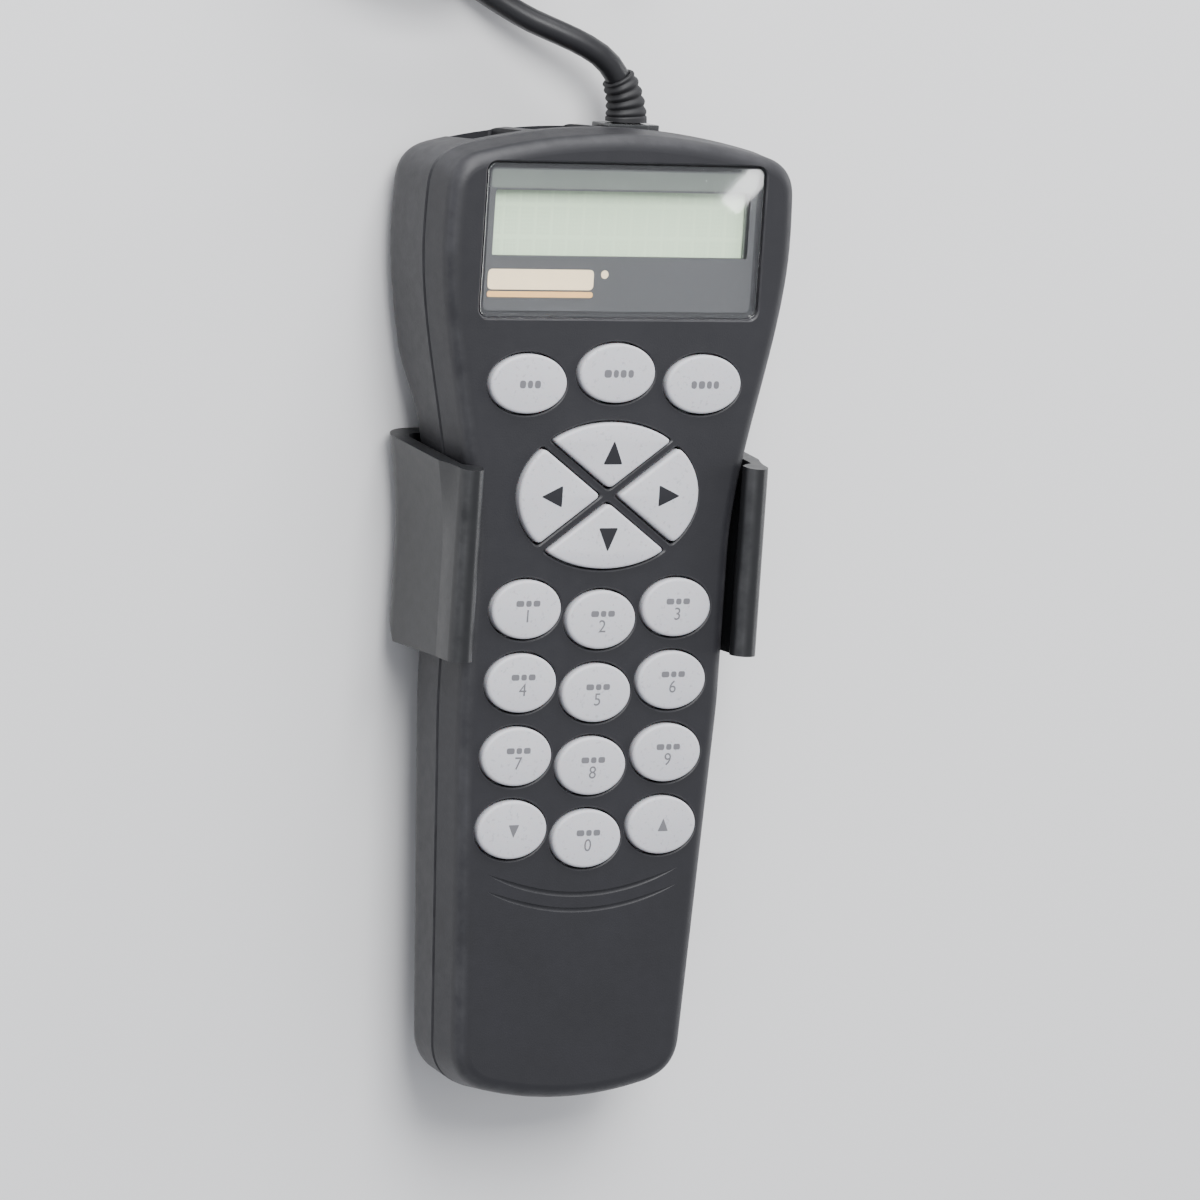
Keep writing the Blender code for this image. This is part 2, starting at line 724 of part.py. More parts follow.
def key_shapes():
    """(name, shape) of every key. Shape gives the key's loop, grown all round by its argument."""
    made = []

    def oval(name, centre, half, count):
        def shape(grow):
            return ellipse(centre, (half[0] + grow, half[1] + grow), count)

        made.append((name, shape))

    for column, side in (("left", -1), ("mid", 0), ("right", 1)):
        raised = TOP_KEY_RAISE if side == 0 else 0.0
        oval(f"key_{column}_top", (side * TOP_KEY_PITCH, along(TOP_KEY_AT) + raised), TOP_KEY, 18)
    for turn, name in enumerate(("key_right", "key_up", "key_left", "key_down")):
        made.append((name, lambda grow, turn=turn: pad_quarter(turn, grow)))
    for row in range(NUMBER_ROWS):
        for column, side in (("left", -1), ("mid", 0), ("right", 1)):
            drop = NUMBER_DROP if side == 0 else 0.0
            y = along(NUMBER_AT + NUMBER_ROW_PITCH * row) - drop
            oval(f"key_r{row + 1}_{column}", (side * NUMBER_COLUMN_PITCH, y), NUMBER_KEY, 18)
    return made


def middle_of(loop):
    return tuple(sum(p[i] for p in loop) / len(loop) for i in (0, 1))


def stem_ring(loop, radius, z):
    """A circle round the loop's middle, point for point with the loop."""
    middle = middle_of(loop)
    return [(*step_towards(middle, point, radius), z) for point in loop]


def key(name, shape, rubber):
    """A cap through the face, a flange that keeps it in and a stem that ends above the board."""
    cap = shape(0.0)
    flange = shape(KEY_LIP)
    flange_top = CEILING_Z - GAP
    flange_bottom = flange_top - KEY_FLANGE
    rings = [
        stem_ring(cap, STEM_RADIUS, BOARD_TOP + GAP + KEY_TRAVEL),
        stem_ring(cap, STEM_RADIUS, flange_bottom),
        at_level(flange, flange_bottom),
        at_level(flange, flange_top),
        at_level(cap, flange_top),
        at_level(cap, FACE_Z + KEY_PROUD - KEY_DOME),
        at_level(shape(-KEY_DOME), FACE_Z + KEY_PROUD),
    ]
    origin = Vector((*middle_of(cap), FACE_Z))
    rings = [[Vector(point) - origin for point in ring] for ring in rings]
    made = loft(name, rings, rubber)
    made.location = origin
    shade_round(made)
    return made


def keypad_mat(rubber):
    """The silicone sheet on the board, open round each stem and each post."""
    far, near = along(MAT_TO), along(MAT_FROM)
    edge = inset(outline(), SIDE_WALL + MAT_MARGIN)
    loop = [(x, min(max(y, far), near)) for x, y in edge]
    kept = [p for i, p in enumerate(loop) if math.dist(p, loop[i - 1]) > 0.5 * MM and far < p[1] < near]
    right = [p for p in kept if p[0] > 0]
    low_x, high_x = right[-1][0], right[0][0]
    right = [(high_x, near), *right, (low_x, far)]
    loop = right + [(-x, y) for x, y in reversed(right)]
    low = BOARD_TOP + GAP
    mat = slab("keypad_mat", loop, low, low + MAT_THICKNESS, rubber)
    cuts = []
    for name, shape in key_shapes():
        centre = middle_of(shape(0.0))
        cuts.append(cylinder(f"{name}_way", centre, STEM_RADIUS + 2 * GAP, low - PAST, CEILING_Z, 10))
    for x, y in board_post_places()[:2]:
        radius = BOARD_SHANK + GAP + POST_WALL + GAP
        cuts.append(cylinder("post_way", (x, y), radius, low - PAST, CEILING_Z, 12))
    combine(mat, "DIFFERENCE", cuts)
    return mat


# Boards, chips and screws


def main_board(laminate):
    loop = inset(outline(1.5 * OUTLINE_STEP, 3), SIDE_WALL + BOARD_MARGIN)
    board = slab("main_board", loop, BOARD_BOTTOM, BOARD_TOP, laminate)
    cuts = [screw_way(x, y, CASE_SHANK) for x, y in case_post_places()]
    cuts += [screw_way(x, y, BOARD_SHANK) for x, y in board_post_places()]
    combine(board, "DIFFERENCE", cuts)
    return board


def screw_way(x, y, shank):
    return cylinder("screw_hole", (x, y), shank + GAP, BOARD_BOTTOM - PAST, BOARD_TOP + PAST, 12)


def chips(package, metal):
    """What hangs under the main board, away from the bosses and the sockets."""
    top = BOARD_BOTTOM - GAP
    for name, *sizes in CHIPS:
        x, distance, width, height, depth = (size * MM for size in sizes)
        material = metal if name == "crystal" else package
        centred_block(name, (x, along(distance)), width, height, top - depth, top, material, CHIP_EDGE)
    radius, height = BUZZER
    middle = (0.0, along(BULGE_FROM - radius))  # the head has the depth for it
    low = top - height
    beeper = cylinder("buzzer", middle, radius, low, top, 20, package)
    mouth = cylinder("buzzer_mouth", middle, BUZZER_MOUTH[0], low - PAST, low + BUZZER_MOUTH[1], 10)
    combine(beeper, "DIFFERENCE", [mouth])


def screw(name, x, y, seat, shank, length, head, steel):
    """A pan-head screw that points up, its head under the seat."""
    head_radius, head_height = head
    tip = length - GAP
    profile = (
        (0.0, tip),
        (shank * 0.6, tip),
        (shank, tip - shank),
        (shank, 0.0),
        (head_radius, 0.0),
        (head_radius, -head_height * 0.5),
        (head_radius * 0.7, -head_height),
        (0.0, -head_height),
    )
    turned(name, profile, (x, y, seat - GAP), 12, steel)


def screws(steel):
    length = BOARD_TOP + GAP + CASE_SCREW_BITE - well_floor()
    for number, (x, y) in enumerate(case_post_places(), 1):
        screw(f"case_screw_{number}", x, y, well_floor(), CASE_SHANK, length, SCREW_HEAD, steel)
    for number, (x, y) in enumerate(board_post_places(), 1):
        place = (f"board_screw_{number}", x, y, BOARD_BOTTOM)
        screw(*place, BOARD_SHANK, BOARD_SCREW_LENGTH, BOARD_SCREW_HEAD, steel)


# Sockets and plugs


def end_y(x):
    """Y of the display end's wall at this x."""
    corner_x = half_width(LENGTH / 2 - HEAD_ARCH)
    return LENGTH / 2 - HEAD_ARCH * (x / corner_x) ** 2 - DRAFT


def socket_front(x, width):
    """Y of a socket's face, a little inside the end wall."""
    return end_y(abs(x) + width / 2) - SOCKET_RECESS


def socket(name, x, size, plastic):
    width, depth = size
    front = socket_front(x, width)
    low = (x - width / 2, front - depth, SOCKET_TOP - SOCKET_HEIGHT)
    return block(name, low, (x + width / 2, front, SOCKET_TOP), plastic), front


def modular_socket(name, x, size, cavity, plastic):
    made, front = socket(name, x, size, plastic)
    width, height, depth = cavity
    low = (x - width / 2, front - depth, CORD_Z - height / 2)
    high = (x + width / 2, front + PAST, CORD_Z + height / 2)
    combine(made, "DIFFERENCE", [block(f"{name}_cavity", low, high)])


def power_socket(plastic):
    made, front = socket("power_jack", POWER_X, POWER_SOCKET, plastic)
    centre = (POWER_X, CORD_Z)
    back = front - POWER_DEPTH
    combine(made, "DIFFERENCE", [lengthwise_cylinder("power_bore", centre, POWER_BORE, back, front + PAST)])
    pin = lengthwise_cylinder("power_pin", centre, POWER_PIN, back - PAST, front - POWER_PIN_RECESS, 10)
    combine(made, "UNION", [pin])


def plug(name, x, y, z, plastic):
    """A modular plug whose tip is at y, with its latch on top."""
    half_wide, half_high = PLUG_BODY[0] / 2, PLUG_BODY[1] / 2
    low = (x - half_wide, y, z - half_high)
    body = block(name, low, (x + half_wide, y + PLUG_LENGTH, z + half_high), plastic)
    latch_half, latch_high = PLUG_LATCH[0] / 2, PLUG_LATCH[1]
    latch = block(
        f"{name}_latch",
        (x - latch_half, y + LATCH_INSET, z + half_high - PAST),
        (x + latch_half, y + PLUG_SEATED - LATCH_INSET, z + half_high + latch_high),
    )
    combine(body, "UNION", [latch])
    return body


def turned_left(across, distance, radius):
    """Where a place beside a cord lands, this far along it, when the cord turns left from +Y."""
    angle = distance / radius
    return (radius + across) * math.cos(angle) - radius, (radius + across) * math.sin(angle)


def boot(name, x, y, z, rubber, bend=None):
    """A tapered strain relief that starts at y. Bend is the radius of its turn to the left."""
    count = 16
    rings = []
    for step in range(7):
        share = step / 6
        wide = blend(BOOT_WIDE[0] / 2, BOOT_NARROW, ease(share))
        high = blend(BOOT_WIDE[1] / 2, BOOT_NARROW, ease(share))
        ring = []
        for angle in (2 * math.pi * turn / count for turn in range(count)):
            across, distance = wide * math.cos(angle), BOOT_LENGTH * share
            if bend:
                across, distance = turned_left(across, distance, bend)
            ring.append((x + across, y + distance, z + high * math.sin(angle)))
        rings.append(ring)
    made = loft(name, rings, rubber)
    shade_round(made)
    return made


# Cord


def scaled(route):
    return [tuple(value * MM for value in point) for point in route]


def cord(jacket, strap_fabric, clear, rubber):
    front = socket_front(CORD_X, CONTROL_SOCKET[0])
    plug("handset_plug", CORD_X, front - PLUG_SEATED, CORD_Z, clear)
    leaves = front - PLUG_SEATED + PLUG_LENGTH + GAP
    boot("handset_boot", CORD_X, leaves, CORD_Z, rubber, BOOT_BEND)
    starts = []
    for past in (GAP, CORD_DIAMETER / 2):
        x, y = turned_left(0.0, BOOT_LENGTH + past, BOOT_BEND)
        starts.append((CORD_X + x, leaves + y, CORD_Z))
    lead = smooth_route([starts[1], *scaled(LEAD_ROUTE)], CORD_STEP)
    radius = CORD_DIAMETER / 2
    tube("cord_lead", [starts[0], *lead], radius, jacket)

    half = COIL_SIDE * CORD_DIAMETER / 2
    ring = rounded_rectangle((COIL_RADIUS, COIL_BOTTOM + half), 2 * half, 2 * half, radius, 2)
    turned("cord_coil", ring[::-1], (*COIL_CENTRE, 0.0), 32, jacket)
    strap(half, strap_fabric)

    far_z = max(PLUG_BODY[1] / 2, BOOT_NARROW) + GAP / 2
    plug("far_plug", FAR_PLUG_X, FAR_PLUG_Y, far_z, clear)
    arrives = FAR_PLUG_Y + PLUG_LENGTH + GAP
    boot("far_boot", FAR_PLUG_X, arrives, far_z, rubber)
    tail = [*scaled(TAIL_ROUTE), (FAR_PLUG_X, arrives + BOOT_LENGTH + GAP, far_z)]
    tube("cord_tail", smooth_route(tail, CORD_STEP), radius, jacket)


def strap(half, fabric):
    """The band round the coil's section, a short arc of a turned channel."""
    reach = STRAP_WIDTH / 2 / COIL_RADIUS

    def band(name, grow, sweep, material):
        side = 2 * (half + grow)
        middle = (COIL_RADIUS, COIL_BOTTOM + half)
        section = rounded_rectangle(middle, side, side, CORD_DIAMETER / 2 + grow, 2)
        rings = []
        for step in range(4):
            angle = STRAP_ANGLE + sweep * (2 * step / 3 - 1)
            across = Vector((math.cos(angle), math.sin(angle)))
            rings.append([(*(Vector(COIL_CENTRE) + r * across), z) for r, z in section])
        return loft(name, rings, material)

    outer = band("cord_strap", GAP + STRAP - STRAP_LIFT, reach, fabric)
    inner = band("strap_way", GAP, 1.5 * reach, None)
    combine(outer, "DIFFERENCE", [inner])


# Holder


def holder_section(inside):
    """The right half of the holder's channel as (x, z), from under the plate round to its top."""
    outside = inside + ARM_WALL
    lip_in = GRIP_WIDTH / 2 - LIP_REACH
    lip_out = lip_in + LIP_WIDTH
    lip_radius = LIP_WIDTH / 2
    lip_z = FACE_Z + LIP_PROUD - lip_radius
    inner_corner = HOLDER_CORNER - ARM_WALL
    points = arc((outside - HOLDER_CORNER, HOLDER_CORNER), HOLDER_CORNER, (-90, -60, -30, 0))
    points.append((outside, FACE_Z - LIP_NECK))
    points.append((lip_out, lip_z - LIP_SHOULDER))
    points += arc((lip_in + lip_radius, lip_z), lip_radius, range(0, 181, 30))
    points.append((lip_in, FACE_Z + LIP_CATCH[0]))
    points.append((inside, FACE_Z - LIP_CATCH[1]))
    return points + arc((inside - inner_corner, SEAT_Z + inner_corner), inner_corner, (0, -45, -90))


def holder(plastic):
    """A channel whose arms follow the controller's flare."""
    stations = 8
    top_z = FACE_Z + LIP_PROUD
    low = along(HOLDER_FROM + HOLDER_LENGTH)
    count = len(holder_section(0.0))
    rings = []
    for station in range(stations + 1):
        right = []
        for index in range(count):
            z = holder_section(0.0)[index][1]
            high = along(HOLDER_FROM) - HOLDER_SLANT * z / top_z
            y = blend(low, high, station / stations)
            x = holder_section(half_width(y) + ARM_CLEARANCE)[index][0]
            right.append((x, y, z))
        rings.append(right + [(-x, y, z) for x, y, z in reversed(right)])
    made = loft("holder_cradle", rings, plastic)
    shade_round(made)

    cuts = []
    for side in (-1, 1):
        place = (side * HOLDER_SCREW_SPACING / 2, along(HOLDER_SCREW_FROM))
        cuts.append(cylinder("plate_hole", place, HOLDER_SCREW_HOLE, -PAST, SEAT_Z + PAST))
        sink = SEAT_Z - HOLDER_SCREW_HOLE
        wide = HOLDER_SCREW_HOLE * 2 + PAST
        cuts.append(cylinder("plate_sink", place, HOLDER_SCREW_HOLE, sink, SEAT_Z + PAST, 16, None, wide))
    slope = math.atan2(HOLDER_HEEL, HOLDER_HEEL_RUN)
    heel = block("heel", (-HEAD_WIDTH, -HOLDER_LENGTH, -HOLDER_LENGTH), (HEAD_WIDTH, HOLDER_LENGTH, 0.0))
    heel.location = (0.0, low, HOLDER_HEEL)
    heel.rotation_euler = (-slope, 0.0, 0.0)
    cuts.append(heel)
    combine(made, "DIFFERENCE", cuts)
    return made


def fix_to(parent, names):
    for name in names:
        bpy.data.objects[name].parent = parent


# Build

for old in list(bpy.data.objects):
    bpy.data.objects.remove(old, do_unlink=True)
PARTS = new_collection("hand_controller")
TOOLS = new_collection("cutters")

CASE = new_material("case_plastic", (0.045, 0.046, 0.050), 0.55)
HOLDER = new_material("holder_plastic", (0.035, 0.036, 0.039), 0.5)
KEYS = new_material("key_rubber", (0.62, 0.62, 0.65), 0.6)
SMOKED = new_material("window_clear", (0.08, 0.08, 0.09), 0.12, alpha=0.5)
GLASS = new_material("lcd_glass", (0.55, 0.62, 0.53), 0.2)
DIFFUSER = new_material("diffuser", (0.85, 0.88, 0.82), 0.5)
LAMINATE = new_material("board_laminate", (0.02, 0.16, 0.07), 0.45)
BLACK = new_material("black_moulding", (0.02, 0.02, 0.022), 0.45)
STEEL = new_material("screw_steel", (0.55, 0.55, 0.56), 0.3, metallic=1.0)
JACKET = new_material("cord_jacket", (0.02, 0.02, 0.022), 0.4)
FABRIC = new_material("strap_fabric", (0.02, 0.02, 0.025), 0.9)
CLEAR = new_material("plug_plastic", (0.75, 0.77, 0.78), 0.2)

holder(HOLDER)
front_case(CASE)
back_case(CASE)
display_window(SMOKED)
display_stack(STEEL, GLASS, DIFFUSER, LAMINATE)
keypad_mat(KEYS)
for key_name, key_shape in key_shapes():
    key(key_name, key_shape, KEYS)
main_board(LAMINATE)
chips(BLACK, STEEL)
screws(STEEL)
modular_socket("control_jack", CORD_X, CONTROL_SOCKET, CONTROL_CAVITY, BLACK)
modular_socket("serial_jack", SERIAL_X, SERIAL_SOCKET, SERIAL_CAVITY, BLACK)
power_socket(BLACK)
cord(JACKET, FABRIC, CLEAR, BLACK)

controller = bpy.data.objects.new("controller", None)
PARTS.objects.link(controller)
fix_to(controller, [part.name for part in PARTS.objects if part.name not in ("holder_cradle", "controller")])
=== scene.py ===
"""The looks of a telescope hand controller in its holder: fine meshes, materials, cord, lights, camera.

Lengths are in metres and MM is a millimetre. +X is the controller's right, +Y its display end and +Z out
of its key face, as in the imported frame.
"""

import contextlib
import math

import bmesh
import bpy
from mathutils import Matrix, Vector
from mathutils.bvhtree import BVHTree


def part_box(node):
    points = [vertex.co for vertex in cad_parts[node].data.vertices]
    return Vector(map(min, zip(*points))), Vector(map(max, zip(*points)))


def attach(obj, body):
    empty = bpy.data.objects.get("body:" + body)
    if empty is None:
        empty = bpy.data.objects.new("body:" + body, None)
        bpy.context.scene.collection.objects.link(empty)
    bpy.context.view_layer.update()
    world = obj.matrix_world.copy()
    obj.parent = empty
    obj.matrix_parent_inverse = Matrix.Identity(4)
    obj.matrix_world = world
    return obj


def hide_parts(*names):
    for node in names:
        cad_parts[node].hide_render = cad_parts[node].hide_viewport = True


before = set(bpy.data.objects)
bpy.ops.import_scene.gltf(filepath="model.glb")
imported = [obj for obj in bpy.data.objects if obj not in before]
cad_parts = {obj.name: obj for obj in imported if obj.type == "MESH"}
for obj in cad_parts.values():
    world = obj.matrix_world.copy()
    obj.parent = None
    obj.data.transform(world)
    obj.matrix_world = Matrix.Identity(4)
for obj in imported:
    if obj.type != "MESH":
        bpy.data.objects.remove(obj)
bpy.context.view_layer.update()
MM = 0.001


def centre_of(low, high):
    """The middle of a box, seen from above."""
    return (low.x + high.x) / 2, (low.y + high.y) / 2


# From the frame
FRONT_LOW, FRONT_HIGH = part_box("front_case")
BACK_LOW, BACK_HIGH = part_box("back_case")
HOLDER_LOW, HOLDER_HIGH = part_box("holder_cradle")
WINDOW_LOW, WINDOW_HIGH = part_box("display_window")
GLASS_LOW, GLASS_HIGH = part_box("lcd_glass")
PLUG_LOW, PLUG_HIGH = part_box("handset_plug")
FAR_LOW, FAR_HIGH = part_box("far_plug")
COIL_LOW, COIL_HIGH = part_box("cord_coil")
KEYS = [node for node in sorted(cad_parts) if node.startswith("key_")]
GAP = 0.3 * MM
FACE_Z = FRONT_HIGH.z
SPLIT_Z = BACK_HIGH.z + GAP / 2
LENGTH = FRONT_HIGH.y - FRONT_LOW.y
HEAD_BACK_Z = BACK_LOW.z

# The controller's outline and depth, as the CAD has them
HEAD_WIDTH = 77.6 * MM
GRIP_WIDTH = 58.8 * MM
TAIL_WIDTH = 50.6 * MM
HEAD_TAPER = 1.4 * MM
HEAD_WIDEST_AT = 20.0 * MM
GRIP_FROM = 82.0 * MM
GRIP_TO = 111.0 * MM
HEAD_ARCH = 5.5 * MM
TAIL_ARCH = 4.6 * MM
HEAD_CORNER = 6.0 * MM
TAIL_CORNER = 7.0 * MM
GRIP_THICKNESS = 24.0 * MM
TAIL_RISE = 2.0 * MM
BULGE_FROM = 44.0 * MM
BULGE_TO = 58.0 * MM
FACE_WALL = 2.8 * MM
SIDE_WALL = 2.4 * MM
DRAFT = 0.6 * MM
FACE_EDGE = 3.0 * MM
BACK_EDGE = 6.0 * MM
SEAM = 0.35 * MM  # chamfer where the shells meet
FACE_MARGIN = 0.3 * MM  # flat strip inside the face's rounded edge
FACE_SQUARE = 3.1 * MM
SAME_LEVEL = 0.002 * MM
CEILING_Z = FACE_Z - FACE_WALL
GRIP_BACK_Z = FACE_Z - GRIP_THICKNESS
HEAD_BULGE = GRIP_BACK_Z - HEAD_BACK_Z

# Holder
SEAT_Z = GRIP_BACK_Z - 0.5 * MM
ARM_CLEARANCE = 0.6 * MM
ARM_WALL = 3.4 * MM
LIP_WIDTH = 5.0 * MM
LIP_REACH = 0.5 * MM
LIP_SHOULDER = 1.0 * MM
LIP_NECK = 4.0 * MM
LIP_CATCH = (0.9 * MM, 0.6 * MM)
HOLDER_CORNER = 7.0 * MM
HOLDER_SLANT = 3.8 * MM
HOLDER_HEEL = 7.0 * MM
HOLDER_HEEL_RUN = 10.5 * MM
HOLDER_HOLE = 2.25 * MM
HOLDER_HOLE_AT = (9.0 * MM, 22.7 * MM)

# Keys and window
KEY_PROUD = 1.2 * MM
KEY_CROWN = 0.28 * MM
KEY_CORNER = 0.62 * MM
KEY_LIP = 0.65 * MM
KEY_FLANGE = 1.0 * MM
KEY_HOLE = 0.35 * MM
KEY_COUNT = 60  # points round a key
PAD = (19.8 * MM, 14.15 * MM)
PAD_AT = 70.0 * MM
PAD_WEB = 2.3 * MM
PAD_ROUNDING = 1.1 * MM
STEM_RADIUS = 2.6 * MM
WINDOW_CORNER = 1.7 * MM
WINDOW_AT = centre_of(WINDOW_LOW, WINDOW_HIGH)
WINDOW_WIDTH = WINDOW_HIGH.x - WINDOW_LOW.x
WINDOW_HEIGHT = WINDOW_HIGH.y - WINDOW_LOW.y
DISPLAY_AT = (0.0, (GLASS_LOW.y + GLASS_HIGH.y) / 2)
DISPLAY_WIDTH = 56.2 * MM
DISPLAY_HEIGHT = 12.6 * MM
KEY_TURNS = {"key_right": 0, "key_up": 1, "key_left": 2, "key_down": 3}  # quarter turns from +X
KEY_BARS = {"left": (1.3, 1.1, 1.3), "mid": (1.6, 1.1, 1.3, 1.2), "right": (1.2, 1.4, 1.1, 1.2)}

# Sockets, plugs, screws, cord and coil
CONTACT_PITCH = 1.02 * MM
CONTACT_WIRE = 0.36 * MM
CONTACT_DROP = 1.4 * MM
SCREW_HEAD = 1.7 * MM
CORD_DIAMETER = 4.8 * MM
PLUG_LATCH = 1.1 * MM
BOOT_LENGTH = 9.0 * MM
BOOT_WIDE = (8.2 * MM, 6.4 * MM)
BOOT_NARROW = 3.3 * MM
BOOT_BEND = 16.0 * MM
COIL_RADIUS = 26.4 * MM
COIL_CENTRE = Vector((*centre_of(COIL_LOW, COIL_HIGH), 0.0))
COIL_TURNS = 6.5
STRAP = 0.9 * MM
STRAP_WIDTH = 9.0 * MM
STRAP_ANGLE = math.radians(150)
LEAD_ROUTE = (
    (3.4, 107.2, 9.8),
    (-0.9, 109.7, 9.1),
    (-6.0, 111.8, 7.9),
    (-11.6, 114.0, 6.3),
    (-17.0, 116.8, 4.8),
    (-21.0, 119.1, 3.9),
    (-24.0, 121.0, 3.5),
)
TAIL_ROUTE = (
    (-15.2, 187.4, 12.6),
    (-7.4, 186.6, 10.4),
    (0.6, 183.4, 7.9),
    (7.2, 178.2, 5.8),
    (11.6, 171.4, 4.4),
    (13.6, 163.6, 3.8),
)


def along(distance):
    """Y of a place this far from the display end."""
    return LENGTH / 2 - distance


def blend(low, high, share):
    return low + (high - low) * share


def ease(share):
    share = min(max(share, 0.0), 1.0)
    return share * share * (3 - 2 * share)


# Materials


def put(tree, kind, inputs=None, **settings):
    """A node. Inputs maps a socket's name or number to a value, or to another node's output."""
    made = tree.nodes.new(kind)
    for name, value in settings.items():
        setattr(made, name, value)
    for key, value in (inputs or {}).items():
        if isinstance(value, bpy.types.NodeSocket):
            tree.links.new(value, made.inputs[key])
        else:
            made.inputs[key].default_value = value
    return made


def socket(shader, key):
    return shader.inputs[key.replace("_", " ").title().replace("Ior", "IOR")]


def feed(shader, **outputs):
    """Links nodes' outputs to a shader's sockets."""
    for key, value in outputs.items():
        shader.id_data.links.new(value, socket(shader, key))


def new_shader(name, roughness, metallic=0.0, **constants):
    """A material's tree and its Principled node."""
    made = bpy.data.materials.new(name)
    made.use_nodes = True
    shader = made.node_tree.nodes["Principled BSDF"]
    for key, value in {"roughness": roughness, "metallic": metallic, **constants}.items():
        socket(shader, key).default_value = value
    return made, made.node_tree, shader


def place_in(tree, stretch=1):
    """Coordinates that stay with the piece, in metres, stretched along Y."""
    place = put(tree, "ShaderNodeTexCoord").outputs["Object"]
    return put(tree, "ShaderNodeMapping", {"Vector": place, "Scale": (1, stretch, 1)}).outputs["Vector"]


def noise(tree, place, scale, detail=3.0):
    inputs = {"Vector": place, "Scale": scale, "Detail": detail, "Roughness": 0.6}
    return put(tree, "ShaderNodeTexNoise", inputs).outputs["Fac"]


def ranged(tree, value, low, high, to_low, to_high):
    inputs = {"Value": value, "From Min": low, "From Max": high, "To Min": to_low, "To Max": to_high}
    return put(tree, "ShaderNodeMapRange", inputs).outputs["Result"]


def mixed(tree, share, first, second):
    """A colour between two. Each is a colour or a node's output."""
    made = put(tree, "ShaderNodeMix", data_type="RGBA")
    for number, value in ((0, share), (6, first), (7, second)):
        if isinstance(value, bpy.types.NodeSocket):
            tree.links.new(value, made.inputs[number])
        else:
            made.inputs[number].default_value = value if number == 0 else (*value[:3], 1.0)
    return made.outputs[2]


def worked_out(tree, operation, *values):
    """A number worked out from others."""
    return put(tree, "ShaderNodeMath", dict(enumerate(values)), operation=operation).outputs[0]


def bumped(tree, shader, height, strength, depth):
    normal = put(tree, "ShaderNodeBump", {"Height": height, "Strength": strength, "Distance": depth})
    feed(shader, normal=normal.outputs["Normal"])


def scaled_colour(colour, factor):
    return tuple(min(1.0, channel * factor) for channel in colour)


def squareness(tree):
    """1 where a surface faces along an axis, and less on what is rounded between."""
    normal = put(tree, "ShaderNodeNewGeometry").outputs["Normal"]
    parts = put(tree, "ShaderNodeVectorMath", {0: normal}, operation="ABSOLUTE").outputs["Vector"]
    x, y, z = put(tree, "ShaderNodeSeparateXYZ", {"Vector": parts}).outputs
    return worked_out(tree, "MAXIMUM", worked_out(tree, "MAXIMUM", x, y), z)


def surface(name, colour, roughness, metallic=0.0, *, grain, depth, wear_and_highlight=0.0, spread=0.1, stretch=1):
    """Moulded plastic, rubber or metal: cloudy colour, uneven gloss, a fine grain and lighter rounded edges,
    partly rubbed and partly a painted highlight.

    Grain is in waves a metre and depth, the grain's, in mm. The wear setting lightens rounded edges and rims,
    where the surface turns away from the axes: partly rubbed wear, partly a painted edge highlight."""
    made, tree, shader = new_shader(name, roughness, metallic)
    place = place_in(tree, stretch)
    clouds = noise(tree, place, 55.0, 4.0)
    share = ranged(tree, clouds, 0.3, 0.7, 0.0, 1.0)
    base = mixed(tree, share, scaled_colour(colour, 1 - spread), scaled_colour(colour, 1 + spread))
    if wear_and_highlight:
        # Rounded edges and rims turned lighter: partly rubbed wear, partly a painted edge highlight where
        # light would catch them.
        rub_and_highlight = ranged(tree, squareness(tree), 0.985, 0.85, 0.0, wear_and_highlight)
        uneven = ranged(tree, noise(tree, place, 160.0, 5.0), 0.35, 0.65, 0.25, 1.0)
        rub_and_highlight = worked_out(tree, "MULTIPLY", rub_and_highlight, uneven)
        base = mixed(tree, rub_and_highlight, base, scaled_colour([c + 0.03 for c in colour], 2.2))
    gloss = ranged(tree, noise(tree, place, 420.0), 0.3, 0.7, roughness - 0.03, roughness + 0.04)
    feed(shader, base_color=base, roughness=gloss)
    bumped(tree, shader, noise(tree, place, grain, 2.0), 0.6, depth * MM)
    return made


def key_rubber():
    """Silicone with fine dark specks in it."""
    colour = (0.60, 0.60, 0.635)
    made, tree, shader = new_shader("key_silicone", 0.5, subsurface_weight=0.06, subsurface_scale=0.002)
    place = place_in(tree)
    shine = mixed(tree, noise(tree, place, 70.0), scaled_colour(colour, 0.94), scaled_colour(colour, 1.06))
    speck = ranged(tree, noise(tree, place, 1300.0, 2.0), 0.6, 0.7, 0.0, 0.4)
    shine = mixed(tree, speck, shine, (0.33, 0.33, 0.36))
    gloss = ranged(tree, noise(tree, place, 500.0), 0.3, 0.7, 0.42, 0.58)
    feed(shader, base_color=shine, roughness=gloss)
    bumped(tree, shader, noise(tree, place, 4200.0, 2.0), 0.5, 0.012 * MM)
    return made


def clear_sheet():
    """A thin hard-coated acrylic sheet with a few hairline scuffs."""
    made, tree, shader = new_shader("window_acrylic", 0.06, transmission_weight=1.0, ior=1.49)
    shader.inputs["Base Color"].default_value = (0.93, 0.95, 0.94, 1.0)
    place = place_in(tree, 14)
    scuffs = ranged(tree, noise(tree, place, 260.0, 5.0), 0.62, 0.75, 0.0, 1.0)
    feed(shader, roughness=ranged(tree, scuffs, 0.0, 1.0, 0.02, 0.12))
    return made


